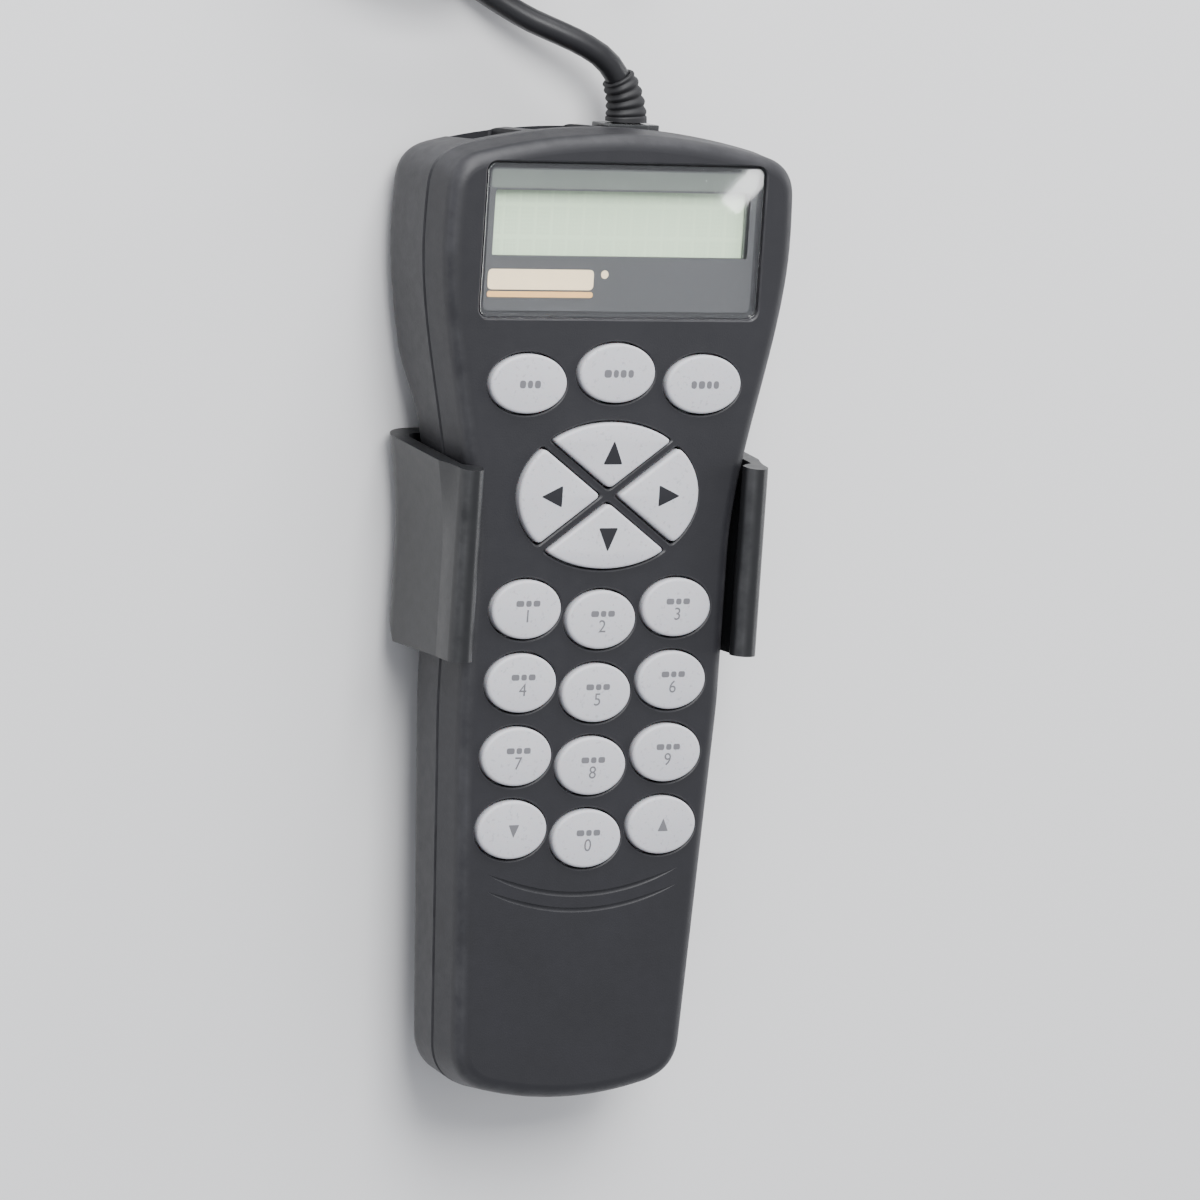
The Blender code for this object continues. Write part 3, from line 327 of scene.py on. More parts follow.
def liquid_crystal():
    """A pale green reflective display, its two lines of character cells barely showing."""
    made, tree, shader = new_shader("display_glass", 0.24, coat_weight=0.4, coat_roughness=0.08)
    place = place_in(tree)
    axes = put(tree, "ShaderNodeSeparateXYZ", {"Vector": place}).outputs

    def lines(value, pitch, share):
        """1 in this share of every pitch."""
        part = worked_out(tree, "FRACT", worked_out(tree, "MULTIPLY", value, 1.0 / pitch))
        return worked_out(tree, "LESS_THAN", part, share)

    cells = [
        lines(axes[0], 3.5 * MM, 0.84),
        lines(axes[1], 6.2 * MM, 0.88),
        lines(axes[0], 0.7 * MM, 0.86),
        lines(axes[1], 0.775 * MM, 0.86),
    ]
    share = cells[0]
    for cell in cells[1:]:
        share = worked_out(tree, "MULTIPLY", share, cell)
    pale, shaded = (0.575, 0.71, 0.52), (0.535, 0.665, 0.49)
    clouds = ranged(tree, noise(tree, place, 30.0, 2.0), 0.3, 0.7, 0.0, 1.0)
    ground = mixed(tree, clouds, scaled_colour(pale, 0.97), scaled_colour(pale, 1.04))
    feed(shader, base_color=mixed(tree, share, ground, shaded))
    bumped(tree, shader, noise(tree, place, 900.0), 0.15, 0.01 * MM)
    return made


def woven():
    """Black hook-and-loop webbing."""
    made, tree, shader = new_shader("webbing", 0.92, sheen_weight=0.35, sheen_roughness=0.5)
    place = place_in(tree)
    inputs = {"Vector": place, "Scale": 900.0, "Distortion": 1.5}
    across = put(tree, "ShaderNodeTexWave", inputs, bands_direction="DIAGONAL").outputs["Fac"]
    fuzz = noise(tree, place, 2500.0, 4.0)
    thread = worked_out(tree, "MULTIPLY", across, fuzz)
    feed(shader, base_color=mixed(tree, thread, (0.012, 0.012, 0.014), (0.05, 0.05, 0.055)))
    bumped(tree, shader, thread, 0.9, 0.15 * MM)
    return made


def smoked_plug():
    """Smoked polycarbonate, a little cloudy inside."""
    made, tree, shader = new_shader("plug_polycarbonate", 0.16, transmission_weight=0.35, ior=1.5)
    place = place_in(tree)
    milk = mixed(tree, noise(tree, place, 300.0), (0.045, 0.047, 0.05), (0.085, 0.088, 0.09))
    gloss = ranged(tree, noise(tree, place, 700.0), 0.3, 0.7, 0.1, 0.24)
    feed(shader, base_color=milk, roughness=gloss)
    bumped(tree, shader, noise(tree, place, 1200.0), 0.2, 0.02 * MM)
    return made


def printed(name, colour):
    """Screen print: flat colour with pinholes and a slightly uneven film."""
    made, tree, shader = new_shader(name, 0.5)
    place = place_in(tree)
    pinholes = ranged(tree, noise(tree, place, 5200.0, 3.0), 0.66, 0.74, 0.0, 0.4)
    ink = mixed(tree, noise(tree, place, 240.0), scaled_colour(colour, 0.92), scaled_colour(colour, 1.07))
    feed(shader, base_color=mixed(tree, pinholes, ink, scaled_colour(colour, 0.7)))
    bumped(tree, shader, noise(tree, place, 3000.0), 0.3, 0.01 * MM)
    return made


def studio_floor():
    made, tree, shader = new_shader("studio_floor", 0.8)
    clouds = noise(tree, place_in(tree), 6.0)
    feed(shader, base_color=mixed(tree, clouds, (0.86, 0.86, 0.865), (0.89, 0.89, 0.895)))
    return made


# The case and holder are lighter on their rounded edges: partly rubbed wear, partly a painted edge highlight.
CASE = surface("case_abs", (0.0145, 0.0145, 0.018), 0.5, grain=2600, depth=0.045, wear_and_highlight=0.3)
HOLDER = surface("holder_abs", (0.0125, 0.013, 0.0145), 0.36, grain=1500, depth=0.02, wear_and_highlight=0.4)
JACK = surface("jack_moulding", (0.018, 0.018, 0.02), 0.38, grain=2400, depth=0.01)
RUBBER = surface("boot_rubber", (0.013, 0.013, 0.015), 0.6, grain=2600, depth=0.03)
JACKET = surface("cord_pvc", (0.013, 0.013, 0.015), 0.36, grain=1800, depth=0.012, spread=0.2)
MAT = surface("mat_silicone", (0.42, 0.42, 0.44), 0.6, grain=2500, depth=0.02)
STEEL = surface("zinc_steel", (0.62, 0.62, 0.63), 0.28, 1.0, grain=900, depth=0.01, spread=0.15)
BRASS = surface("gold_contact", (0.83, 0.62, 0.27), 0.22, 1.0, grain=1500, depth=0.004)
BEZEL = surface("bezel_metal", (0.20, 0.20, 0.21), 0.42, 1.0, grain=1200, depth=0.01, stretch=6)
LAMINATE = surface("solder_mask", (0.02, 0.16, 0.07), 0.34, grain=1200, depth=0.02, spread=0.2)
PACKAGE = surface("chip_epoxy", (0.02, 0.02, 0.021), 0.55, grain=3000, depth=0.02, spread=0.2)
DIFFUSER = surface("light_guide", (0.82, 0.86, 0.80), 0.4, grain=900, depth=0.02, spread=0.04)
KEY_MATERIAL = key_rubber()
WINDOW_MATERIAL = clear_sheet()
DISPLAY = liquid_crystal()
WEBBING = woven()
SMOKED = smoked_plug()
MASK_INK = printed("mask_ink", (0.058, 0.058, 0.064))
# Painted shade: a greenish tone for the top of the display seen in shadow under the window's edge.
DISPLAY_SHADE_INK = printed("painted_display_shade", (0.115, 0.13, 0.12))
GREY_INK = printed("grey_ink", (0.165, 0.165, 0.18))
BLACK_INK = printed("black_ink", (0.01, 0.01, 0.014))
CREAM_INK = printed("cream_ink", (0.88, 0.70, 0.47))
AMBER_INK = printed("amber_ink", (0.80, 0.45, 0.16))


# Mesh helpers


def placed(name, data):
    made = bpy.data.objects.new(name, data)
    bpy.context.scene.collection.objects.link(made)
    return made


def object_from(bm, name, material=None):
    bmesh.ops.recalc_face_normals(bm, faces=bm.faces)
    mesh = bpy.data.meshes.new(name)
    bm.to_mesh(mesh)
    bm.free()
    if material:
        mesh.materials.append(material)
    return placed(name, mesh)


@contextlib.contextmanager
def editing(mesh):
    bm = bmesh.new()
    bm.from_mesh(mesh)
    yield bm
    bm.to_mesh(mesh)
    bm.free()


def finished(made, slot, *nodes, body="controller", angle=32):
    """Shades a piece and ties it to the frame."""
    if made.type == "MESH":
        made.data.shade_smooth()
        made.data.set_sharp_from_angle(angle=math.radians(angle))
        weighted = made.modifiers.new("Weighted normals", "WEIGHTED_NORMAL")
        weighted.keep_sharp = True
    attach(made, body)
    if nodes:
        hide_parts(*nodes)
    return made


def applied(made):
    """Turns a piece's modifiers into its mesh."""
    bpy.context.view_layer.update()
    mesh = bpy.data.meshes.new_from_object(made.evaluated_get(bpy.context.evaluated_depsgraph_get()))
    made.modifiers.clear()
    made.data = mesh
    return made


def carve(target, tools, operation="DIFFERENCE"):
    group = bpy.data.collections.new("tools")
    bpy.context.scene.collection.children.link(group)
    for tool in tools:
        bpy.context.scene.collection.objects.unlink(tool)
        group.objects.link(tool)
    modifier = target.modifiers.new("Cut", "BOOLEAN")
    modifier.operation = operation
    modifier.operand_type = "COLLECTION"
    modifier.collection = group
    modifier.solver = "EXACT"
    applied(target)
    for tool in tools:
        bpy.data.objects.remove(tool)
    bpy.data.collections.remove(group)
    return target


def soften(target, width, segments=3, angle=40):
    modifier = target.modifiers.new("Bevel", "BEVEL")
    modifier.width = width
    modifier.segments = segments
    modifier.limit_method = "ANGLE"
    modifier.angle_limit = math.radians(angle)
    return applied(target)


def ring_faces(bm, rings):
    made = [[bm.verts.new(point) for point in ring] for ring in rings]
    count = len(made[0])
    for low, high in zip(made, made[1:]):
        for i in range(count):
            j = (i + 1) % count
            bm.faces.new((low[i], low[j], high[j], high[i]))
    return made


def loft(name, rings, material=None, strips=False, caps=True):
    """A solid through rings with the same number of points. Strips caps it with bands across it."""
    bm = bmesh.new()
    made = ring_faces(bm, rings)
    count = len(made[0])
    for ring in (made[0], made[-1]) if caps else ():
        if not strips:
            bm.faces.new(ring)
            continue
        for i in range(count // 2):
            across = [ring[i], ring[i + 1], ring[(count - i - 1) % count], ring[(count - i) % count]]
            bm.faces.new(list(dict.fromkeys(across)))
    return object_from(bm, name, material)


def at_level(loop, z):
    return [(x, y, z) for x, y in loop]


def block(name, low, high, material=None, edge=0.0):
    bm = bmesh.new()
    middle = (Vector(low) + Vector(high)) / 2
    size = Vector(high) - Vector(low)
    bmesh.ops.create_cube(bm, size=1.0, matrix=Matrix.Translation(middle) @ Matrix.Diagonal((*size, 1.0)))
    made = object_from(bm, name, material)
    return soften(made, edge) if edge else made


def cone(name, start, end, radius, end_radius=None, count=32, material=None):
    """A cylinder, or a cone, from one point to another."""
    bm = bmesh.new()
    run = Vector(end) - Vector(start)
    turn = run.to_track_quat("Z", "Y").to_matrix().to_4x4()
    matrix = Matrix.Translation((Vector(start) + Vector(end)) / 2) @ turn
    end_radius = radius if end_radius is None else end_radius
    bmesh.ops.create_cone(
        bm, cap_ends=True, segments=count, radius1=radius, radius2=end_radius, depth=run.length, matrix=matrix
    )
    return object_from(bm, name, material)


def joined(name, parts):
    """Several objects as one, each a closed body of its own."""
    bm = bmesh.new()
    materials = []
    for part in parts:
        own = part.data.materials[0]
        if own not in materials:
            materials.append(own)
        start = len(bm.faces)
        bm.from_mesh(part.data)
        bm.faces.ensure_lookup_table()
        for face in bm.faces[start:]:
            face.material_index = materials.index(own)
        bpy.data.objects.remove(part)
    mesh = bpy.data.meshes.new(name)
    bm.to_mesh(mesh)
    bm.free()
    for one in materials:
        mesh.materials.append(one)
    return placed(name, mesh)


# Flat loops


def turned_to(angle, centre, wide, high=None):
    """The point of a circle or an ellipse at this angle."""
    high = wide if high is None else high
    return centre[0] + wide * math.cos(angle), centre[1] + high * math.sin(angle)


def ellipse(centre, half, count=KEY_COUNT):
    return [turned_to(2 * math.pi * step / count, centre, *half) for step in range(count)]


def rounded_rectangle(centre, width, height, radius, steps=8):
    loop = []
    for quarter, (sx, sy) in enumerate(((1, 1), (-1, 1), (-1, -1), (1, -1))):
        middle = (centre[0] + sx * (width / 2 - radius), centre[1] + sy * (height / 2 - radius))
        for step in range(steps + 1):
            loop.append(turned_to(math.pi / 2 * (quarter + step / steps), middle, radius))
    return loop


def corner(before, point, after, steps):
    made = []
    for step in range(steps + 1):
        t = step / steps
        weights = ((1 - t) ** 2, 2 * t * (1 - t), t * t)
        made.append(tuple(sum(w * p[i] for w, p in zip(weights, (before, point, after))) for i in (0, 1)))
    return made


def arc(middle, radius, degrees):
    return [turned_to(math.radians(angle), middle, radius) for angle in degrees]


def step_towards(start, end, distance):
    length = math.dist(start, end)
    return tuple(a + (b - a) * distance / length for a, b in zip(start, end))


def middle_of(loop):
    return tuple(sum(p[i] for p in loop) / len(loop) for i in (0, 1))


def inset(loop, distance):
    """The loop, which runs clockwise, moved inwards."""
    moved = []
    for index, (x, y) in enumerate(loop):
        (ax, ay), (bx, by) = loop[index - 1], loop[(index + 1) % len(loop)]
        length = math.hypot(bx - ax, by - ay)
        moved.append((x + (by - ay) / length * distance, y - (bx - ax) / length * distance))
    return moved


def half_width(y):
    from_end = LENGTH / 2 - y
    if from_end < HEAD_WIDEST_AT:
        return HEAD_WIDTH / 2 - HEAD_TAPER * (1 - from_end / HEAD_WIDEST_AT) ** 2
    if from_end < GRIP_FROM:
        share = (GRIP_FROM - from_end) / (GRIP_FROM - HEAD_WIDEST_AT)
        return blend(GRIP_WIDTH, HEAD_WIDTH, ease(share)) / 2
    share = max(0.0, (from_end - GRIP_TO) / (LENGTH - GRIP_TO))
    return blend(GRIP_WIDTH, TAIL_WIDTH, share) / 2


def end_of(side, arch, radius):
    """Half of an arched end, from its middle round the corner on the right."""
    steps = 14
    corner_y = side * (LENGTH / 2 - arch)
    corner_x = half_width(corner_y)
    arch_to = corner_x - radius
    made = []
    for step in range(steps + 1):
        x = arch_to * step / steps
        made.append((x, side * (LENGTH / 2 - arch * (x / corner_x) ** 2)))
    turn_y = corner_y - side * radius
    return made[:-1] + corner(made[-1], (corner_x, corner_y), (half_width(turn_y), turn_y), 12)


def outline():
    """The controller's widest outline, from the middle of the display end round its right side."""
    head = end_of(1, HEAD_ARCH, HEAD_CORNER)
    tail = end_of(-1, TAIL_ARCH, TAIL_CORNER)[::-1]
    steps = 64
    heights = [blend(head[-1][1], tail[0][1], step / steps) for step in range(1, steps)]
    side = [(half_width(y), y) for y in heights]
    right = head + side + tail
    return right + [(-x, y) for x, y in reversed(right[1:-1])]


def back_of(y):
    """Height of the controller's back at this place along it."""
    from_end = LENGTH / 2 - y
    if from_end < BULGE_TO:
        return GRIP_BACK_Z - HEAD_BULGE * ease((BULGE_TO - from_end) / (BULGE_TO - BULGE_FROM))
    return GRIP_BACK_Z + TAIL_RISE * (from_end - BULGE_TO) / (LENGTH - BULGE_TO)


# Outlines of the keys and the window


def pad_quarter(turn, grow):
    """One of the four direction keys: 0 right, 1 up, 2 left, 3 down."""
    count = 26
    wide, high = PAD[0] + grow, PAD[1] + grow
    web = PAD_WEB - 2 * grow
    diagonal = math.hypot(wide, high)
    slip = math.asin(web * diagonal / (2 * math.sqrt(2) * wide * high))
    middle = (0.0, along(PAD_AT))
    start = math.pi / 2 * turn - math.pi / 4 + slip
    sweep = math.pi / 2 - 2 * slip
    rim = [turned_to(start + sweep * step / (count - 1), middle, wide, high) for step in range(count)]
    reach = web / 2 * diagonal / (high if turn % 2 == 0 else wide)
    tip = turned_to(math.pi / 2 * turn, middle, reach)
    radius = PAD_ROUNDING
    first = corner(step_towards(rim[0], tip, radius), rim[0], step_towards(rim[0], rim[3], radius), 6)
    last = corner(step_towards(rim[-1], rim[-4], radius), rim[-1], step_towards(rim[-1], tip, radius), 6)
    point = corner(step_towards(tip, rim[-1], radius), tip, step_towards(tip, rim[0], radius), 6)
    kept = [p for p in rim[1:-1] if min(math.dist(p, rim[0]), math.dist(p, rim[-1])) > radius * 1.05]
    return first + kept + last + point


def key_shape(node, grow):
    """The outline of a key, grown all round."""
    if node in KEY_TURNS:
        return pad_quarter(KEY_TURNS[node], grow)
    low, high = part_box(node)
    half = ((high.x - low.x) / 2 - KEY_LIP + grow, (high.y - low.y) / 2 - KEY_LIP + grow)
    return ellipse(centre_of(low, high), half)


def window_shape(grow, steps=8):
    """The window's outline, grown all round."""
    width, height = WINDOW_WIDTH + 2 * grow, WINDOW_HEIGHT + 2 * grow
    return rounded_rectangle(WINDOW_AT, width, height, WINDOW_CORNER + grow, steps)


# Shells


def groove(name, span, drop, y, width, depth):
    """A cutter for a shallow curved line across the face: y in the middle, drop higher at its ends."""
    rings = []
    steps = 40
    for step in range(steps + 1):
        share = 2 * step / steps - 1
        x = span / 2 * share
        middle_y = y + drop * share * share
        fade = max(0.05, 1 - abs(share) ** 6)
        half, deep = width / 2 * fade, depth * fade
        ring = []
        for angle in range(180, 361, 30):
            a = math.radians(angle)
            ring.append((x, middle_y + half * math.cos(a), FACE_Z + deep * math.sin(a)))
        rings.append([*ring, (x, middle_y + half, FACE_Z + MM), (x, middle_y - half, FACE_Z + MM)])
    return loft(name, rings)


def hole_cutter(name, shape, clearance, low):
    """A cutter that opens with a rounded rim at the face. Shape gives a loop, grown by its argument."""
    wide = 0.42 * MM
    steps = ((0.0, low), (0.0, FACE_Z - 0.45 * MM), (0.1 * MM, FACE_Z - 0.2 * MM), (wide, FACE_Z + 0.02 * MM),
             (wide, FACE_Z + MM))
    return loft(name, [at_level(shape(clearance + grow), z) for grow, z in steps])


def front_case():
    edge = outline()
    profile = [
        (SIDE_WALL + DRAFT + 0.6 * MM, CEILING_Z), (SIDE_WALL + DRAFT, CEILING_Z - 0.6 * MM),
        (SIDE_WALL, SPLIT_Z + GAP / 2), (SEAM, SPLIT_Z + GAP / 2), (0.0, SPLIT_Z + GAP / 2 + SEAM),
        (DRAFT * 0.5, (SPLIT_Z + FACE_Z - FACE_EDGE) / 2),
    ]
    for step in range(10):
        angle = math.pi / 2 * step / 9
        z = FACE_Z - FACE_EDGE * (1 - math.sin(angle))
        profile.append((DRAFT + FACE_EDGE * (1 - math.cos(angle)), z))
    profile.append((DRAFT + FACE_EDGE + FACE_MARGIN, FACE_Z))
    shell = loft("front_shell", [at_level(inset(edge, move), z) for move, z in profile], CASE)
    divide_face(shell.data, FACE_Z)
    cutters = []
    for node in KEYS:
        way = hole_cutter(f"{node}_way", lambda grow, n=node: key_shape(n, grow), KEY_HOLE, CEILING_Z - MM)
        cutters.append(way)
    cutters.append(hole_cutter("window_seat", window_shape, GAP, WINDOW_LOW.z - GAP))
    view = rounded_rectangle(DISPLAY_AT, DISPLAY_WIDTH + 2 * MM, DISPLAY_HEIGHT + 2 * MM, MM)
    cutters.append(loft("view", [at_level(view, CEILING_Z - MM), at_level(view, FACE_Z)]))
    groove_y = along(148.1 * MM)
    cutters.append(groove("upper_groove", 42 * MM, 4.6 * MM, groove_y, 1.1 * MM, 0.4 * MM))
    cutters.append(groove("lower_groove", 42 * MM, 4.4 * MM, groove_y - 3.1 * MM, 1.0 * MM, 0.34 * MM))
    finished(carve(shell, cutters), "case_plastic", "front_case")
    keep_flat(shell.data, FACE_Z)


def divide_face(mesh, level):
    """Cuts the flat face into small squares, so that what is shaded from point to point stays local."""
    with editing(mesh) as bm:
        for axis, reach in ((0, HEAD_WIDTH / 2), (1, LENGTH / 2)):
            count = math.ceil(2 * reach / FACE_SQUARE)
            for step in range(1, count):
                place, normal = [0.0, 0.0, 0.0], [0.0, 0.0, 0.0]
                place[axis] = blend(-reach, reach, step / count)
                normal[axis] = 1.0
                faces = [f for f in bm.faces if all(abs(v.co.z - level) < SAME_LEVEL for v in f.verts)]
                edges = {edge for face in faces for edge in face.edges}
                points = {point for face in faces for point in face.verts}
                geometry = [*faces, *edges, *points]
                bmesh.ops.bisect_plane(bm, geom=geometry, dist=1e-7, plane_co=place, plane_no=normal)


def keep_flat(mesh, level):
    """Marks the rims of what is cut into the face sharp, so that the face shades flat up to them."""
    with editing(mesh) as bm:
        for edge in bm.edges:
            if len(edge.link_faces) != 2 or any(abs(v.co.z - level) > SAME_LEVEL for v in edge.verts):
                continue
            middle = (edge.verts[0].co + edge.verts[1].co) / 2
            inside = half_width(middle.y) - abs(middle.x) > DRAFT + FACE_EDGE + FACE_MARGIN
            if inside and edge.calc_face_angle(0.0) > 0.02:
                edge.smooth = False


def back_case():
    edge = outline()
    inner = BACK_EDGE - SIDE_WALL

    def curved(loop, rise):
        return [(x, y, back_of(y) + rise) for x, y in loop]

    rings = []
    for degrees in range(90, -1, -15):
        angle = math.radians(degrees)
        move = SIDE_WALL + DRAFT + inner * (1 - math.cos(angle))
        rings.append(curved(inset(edge, move), SIDE_WALL + inner * (1 - math.sin(angle))))
    rings.append(at_level(inset(edge, SIDE_WALL), SPLIT_Z - GAP / 2))
    rings.append(at_level(inset(edge, SEAM), SPLIT_Z - GAP / 2))
    rings.append(at_level(edge, SPLIT_Z - GAP / 2 - SEAM))
    for degrees in range(0, 91, 9):
        angle = math.radians(degrees)
        move = DRAFT + BACK_EDGE * (1 - math.cos(angle))
        rings.append(curved(inset(edge, move), BACK_EDGE * (1 - math.sin(angle))))
    shell = loft("back_shell", rings, CASE, strips=True)

    bosses, cutters = [], []
    for number in range(1, 5):
        low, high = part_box(f"case_screw_{number}")
        x, y = centre_of(low, high)
        bosses.append(cone("boss", (x, y, back_of(y) + MM), (x, y, BACK_HIGH.z - 3 * MM), 4.3 * MM))
        rim = back_of(y) + 0.1 * MM
        for bottom, top, *shape in (
            (-MM, low.z + SCREW_HEAD + GAP, 2.9 * MM, None, 40),
            (rim - 2 * MM, rim + 0.7 * MM, 5.6 * MM, 2.9 * MM, 40),
            (0.0, BACK_HIGH.z, 1.6 * MM),
        ):
            cutters.append(cone("well", (x, y, bottom), (x, y, top), *shape))
    carve(shell, bosses, "UNION")
    for jack in ("control_jack", "serial_jack", "power_jack"):
        low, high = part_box(jack)
        room = Vector((0.35, 0.0, 0.35)) * MM
        low, high = low - room, high + room
        centre = ((low.x + high.x) / 2, (low.z + high.z) / 2)
        loop = rounded_rectangle(centre, high.x - low.x, high.z - low.z, 0.7 * MM, 4)
        rings = [[(x, y, z) for x, z in loop] for y in (high.y - 6 * MM, LENGTH / 2 + MM)]
        cutters.append(loft("jack_hole", rings))
    label = rounded_rectangle((0.0, along(140 * MM)), 36 * MM, 52 * MM, 3 * MM)
    rings = [[(x, y, -3 * MM) for x, y in label], [(x, y, back_of(y) + 0.3 * MM) for x, y in label]]
    cutters.append(loft("label_recess", rings))
    carve(shell, cutters)

    lip = [at_level(inset(edge, SIDE_WALL + move), z) for move, z in (
        (0.05 * MM, SPLIT_Z - 2 * MM), (0.05 * MM, SPLIT_Z + 1.4 * MM),
        (0.9 * MM, SPLIT_Z + 1.4 * MM), (0.9 * MM, SPLIT_Z - 2 * MM), (0.05 * MM, SPLIT_Z - 2 * MM),
    )]
    tongue = loft("tongue", lip, CASE, caps=False)
    weld(tongue)
    finished(joined("back_shell_body", [shell, tongue]), "case_plastic", "back_case")


def weld(target):
    with editing(target.data) as bm:
        bmesh.ops.remove_doubles(bm, verts=bm.verts, dist=0.001 * MM)
        bmesh.ops.recalc_face_normals(bm, faces=bm.faces)


# Window and display


def window():
    low, high = WINDOW_LOW.z, WINDOW_HIGH.z
    edge = 0.3 * MM
    rings = [at_level(window_shape(-0.1 * MM, 10), low), at_level(window_shape(0.0, 10), low + 0.1 * MM)]
    for degrees in (0, 30, 60, 90):
        angle = math.radians(degrees)
        shape = window_shape(-edge * (1 - math.cos(angle)), 10)
        rings.append(at_level(shape, high - edge * (1 - math.sin(angle))))
    sheet = loft("window_sheet", rings, WINDOW_MATERIAL)
    finished(sheet, "window_clear", "display_window")
    sheet.visible_shadow = False

    border = 1.0 * MM
    width, height = WINDOW_WIDTH - 2 * border, WINDOW_HEIGHT - 2 * border
    outer = rounded_rectangle(WINDOW_AT, width, height, WINDOW_CORNER - border / 2)
    hole = rounded_rectangle(DISPLAY_AT, DISPLAY_WIDTH, DISPLAY_HEIGHT, 0.5 * MM)
    top, bottom = low - 0.1 * MM, low - 0.16 * MM
    rings = [at_level(outer, top), at_level(outer, bottom), at_level(hole, bottom), at_level(hole, top)]
    mask = loft("window_mask", [*rings, at_level(outer, top)], MASK_INK, caps=False)
    weld(mask)
    finished(mask, "case_plastic")

    left = -DISPLAY_WIDTH / 2 - 0.6 * MM
    mark_low = WINDOW_LOW.y + 3.4 * MM
    film = (low - 0.09 * MM, low - 0.04 * MM)
    cream = rounded_rectangle((left + 11.5 * MM, mark_low + 3.6 * MM), 23 * MM, 3.9 * MM, 0.9 * MM, 5)
    amber = rounded_rectangle((left + 11.5 * MM, mark_low + 0.75 * MM), 23 * MM, 1.1 * MM, 0.5 * MM, 5)
    dot = ellipse((left + 25.4 * MM, mark_low + 4.7 * MM), (0.8 * MM, 0.8 * MM), 24)
    # A greenish band laid on the mask above the display: painted shade, standing for the display's top in
    # shadow.
    band_top = WINDOW_HIGH.y - border - 0.3 * MM
    band_low = DISPLAY_AT[1] + DISPLAY_HEIGHT / 2 + 0.4 * MM
    band_at = (0.0, (band_top + band_low) / 2)
    band = rounded_rectangle(band_at, WINDOW_WIDTH - 2.6 * MM, band_top - band_low, 0.6 * MM, 5)
    for name, shape, ink in (
        ("mark_block", cream, CREAM_INK), ("mark_bar", amber, AMBER_INK), ("mark_dot", dot, CREAM_INK),
        ("display_shade_band", band, DISPLAY_SHADE_INK),
    ):
        finished(loft(name, [at_level(shape, z) for z in film], ink), "case_plastic")


# Keys


def key_cap(node):
    """A key: domed cap, the flange that keeps it in and its stem."""
    cap = key_shape(node, 0.0)
    flange = key_shape(node, KEY_LIP)
    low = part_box(node)[0].z
    flange_top = CEILING_Z - GAP
    centre = middle_of(cap)

    def stem(z):
        return [(*step_towards(centre, point, STEM_RADIUS), z) for point in cap]

    shoulder = FACE_Z + KEY_PROUD - KEY_CROWN - KEY_CORNER
    rings = [
        stem(low), stem(flange_top - KEY_FLANGE), at_level(flange, flange_top - KEY_FLANGE),
        at_level(flange, flange_top), at_level(cap, flange_top), at_level(cap, FACE_Z - 0.5 * MM),
    ]
    for step in range(7):
        angle = math.pi / 2 * step / 6
        shape = key_shape(node, -KEY_CORNER * (1 - math.cos(angle)))
        rings.append(at_level(shape, shoulder + KEY_CORNER * math.sin(angle)))
    rim = key_shape(node, -KEY_CORNER)
    for share in (0.88, 0.7, 0.5, 0.3, 0.1):
        z = FACE_Z + KEY_PROUD - KEY_CROWN * share**2
        rings.append([(*step_towards(centre, p, share * math.dist(centre, p)), z) for p in rim])
    return finished(loft(f"{node}_cap", rings, KEY_MATERIAL), "key_rubber", node, body=node, angle=50)


def flat_shape(bm, corners):
    """A flat print with points all over it, so that it can follow a dome."""
    loop = []
    for index, point in enumerate(corners):
        after = corners[(index + 1) % len(corners)]
        steps = max(1, round(math.dist(point, after) / (0.4 * MM)))
        loop += [tuple(blend(a, b, step / steps) for a, b in zip(point, after)) for step in range(steps)]
    centre = middle_of(loop)
    rings = []
    for share in (1.0, 0.75, 0.5, 0.25):
        rings.append([(*(blend(c, p, share) for c, p in zip(centre, point)), 0.0) for point in loop])
    bm.faces.new(ring_faces(bm, rings)[-1])


def digit_mesh(text, size):
    """A figure as a flat mesh round the origin."""
    curve = bpy.data.curves.new("figure", "FONT")
    curve.body = text
    curve.size = size
    curve.align_x = "CENTER"
    curve.align_y = "CENTER"
    curve.resolution_u = 3
    made = placed("figure", curve)
    bpy.context.view_layer.update()
    mesh = bpy.data.meshes.new_from_object(made.evaluated_get(bpy.context.evaluated_depsgraph_get()))
    bpy.data.objects.remove(made)
    return mesh


def legend(node, cap, bm, ink):
    """Lays a flat print on a key's cap."""
    tree = BVHTree.FromObject(cap, bpy.context.evaluated_depsgraph_get())
    for vertex in bm.verts:
        spot = tree.ray_cast(Vector((vertex.co.x, vertex.co.y, FACE_Z + 10 * MM)), Vector((0, 0, -1)))[0]
        vertex.co.z = spot.z + 0.02 * MM
    made = object_from(bm, f"{node}_print", ink)
    solid = made.modifiers.new("Film", "SOLIDIFY")
    solid.thickness = 0.05 * MM
    solid.offset = -1
    applied(made)
    return finished(made, "key_rubber", body=node)


def dashes(bm, centre, widths, height):
    """A row of short bars, where the real key has a word."""
    space = 0.42 * MM
    x = centre[0] - (sum(widths) + space * (len(widths) - 1)) / 2
    for width in widths:
        flat_shape(bm, rounded_rectangle((x + width / 2, centre[1]), width, height, height * 0.3, 2))
        x += width + space


def arrow(bm, centre, turn):
    """A triangle that points along the turn, counted in quarters from +X."""
    corners = ((2.6, 0.0), (-2.0, 2.1), (-2.0, -2.1))
    spin = Matrix.Rotation(math.pi / 2 * turn, 2)
    sharp = [tuple(Vector(centre) + spin @ (Vector(c) * MM)) for c in corners]
    loop = []
    for i, point in enumerate(sharp):
        before, after = sharp[i - 1], sharp[(i + 1) % 3]
        cut = 0.35 * MM
        loop += corner(step_towards(point, before, cut), point, step_towards(point, after, cut), 4)
    flat_shape(bm, loop)


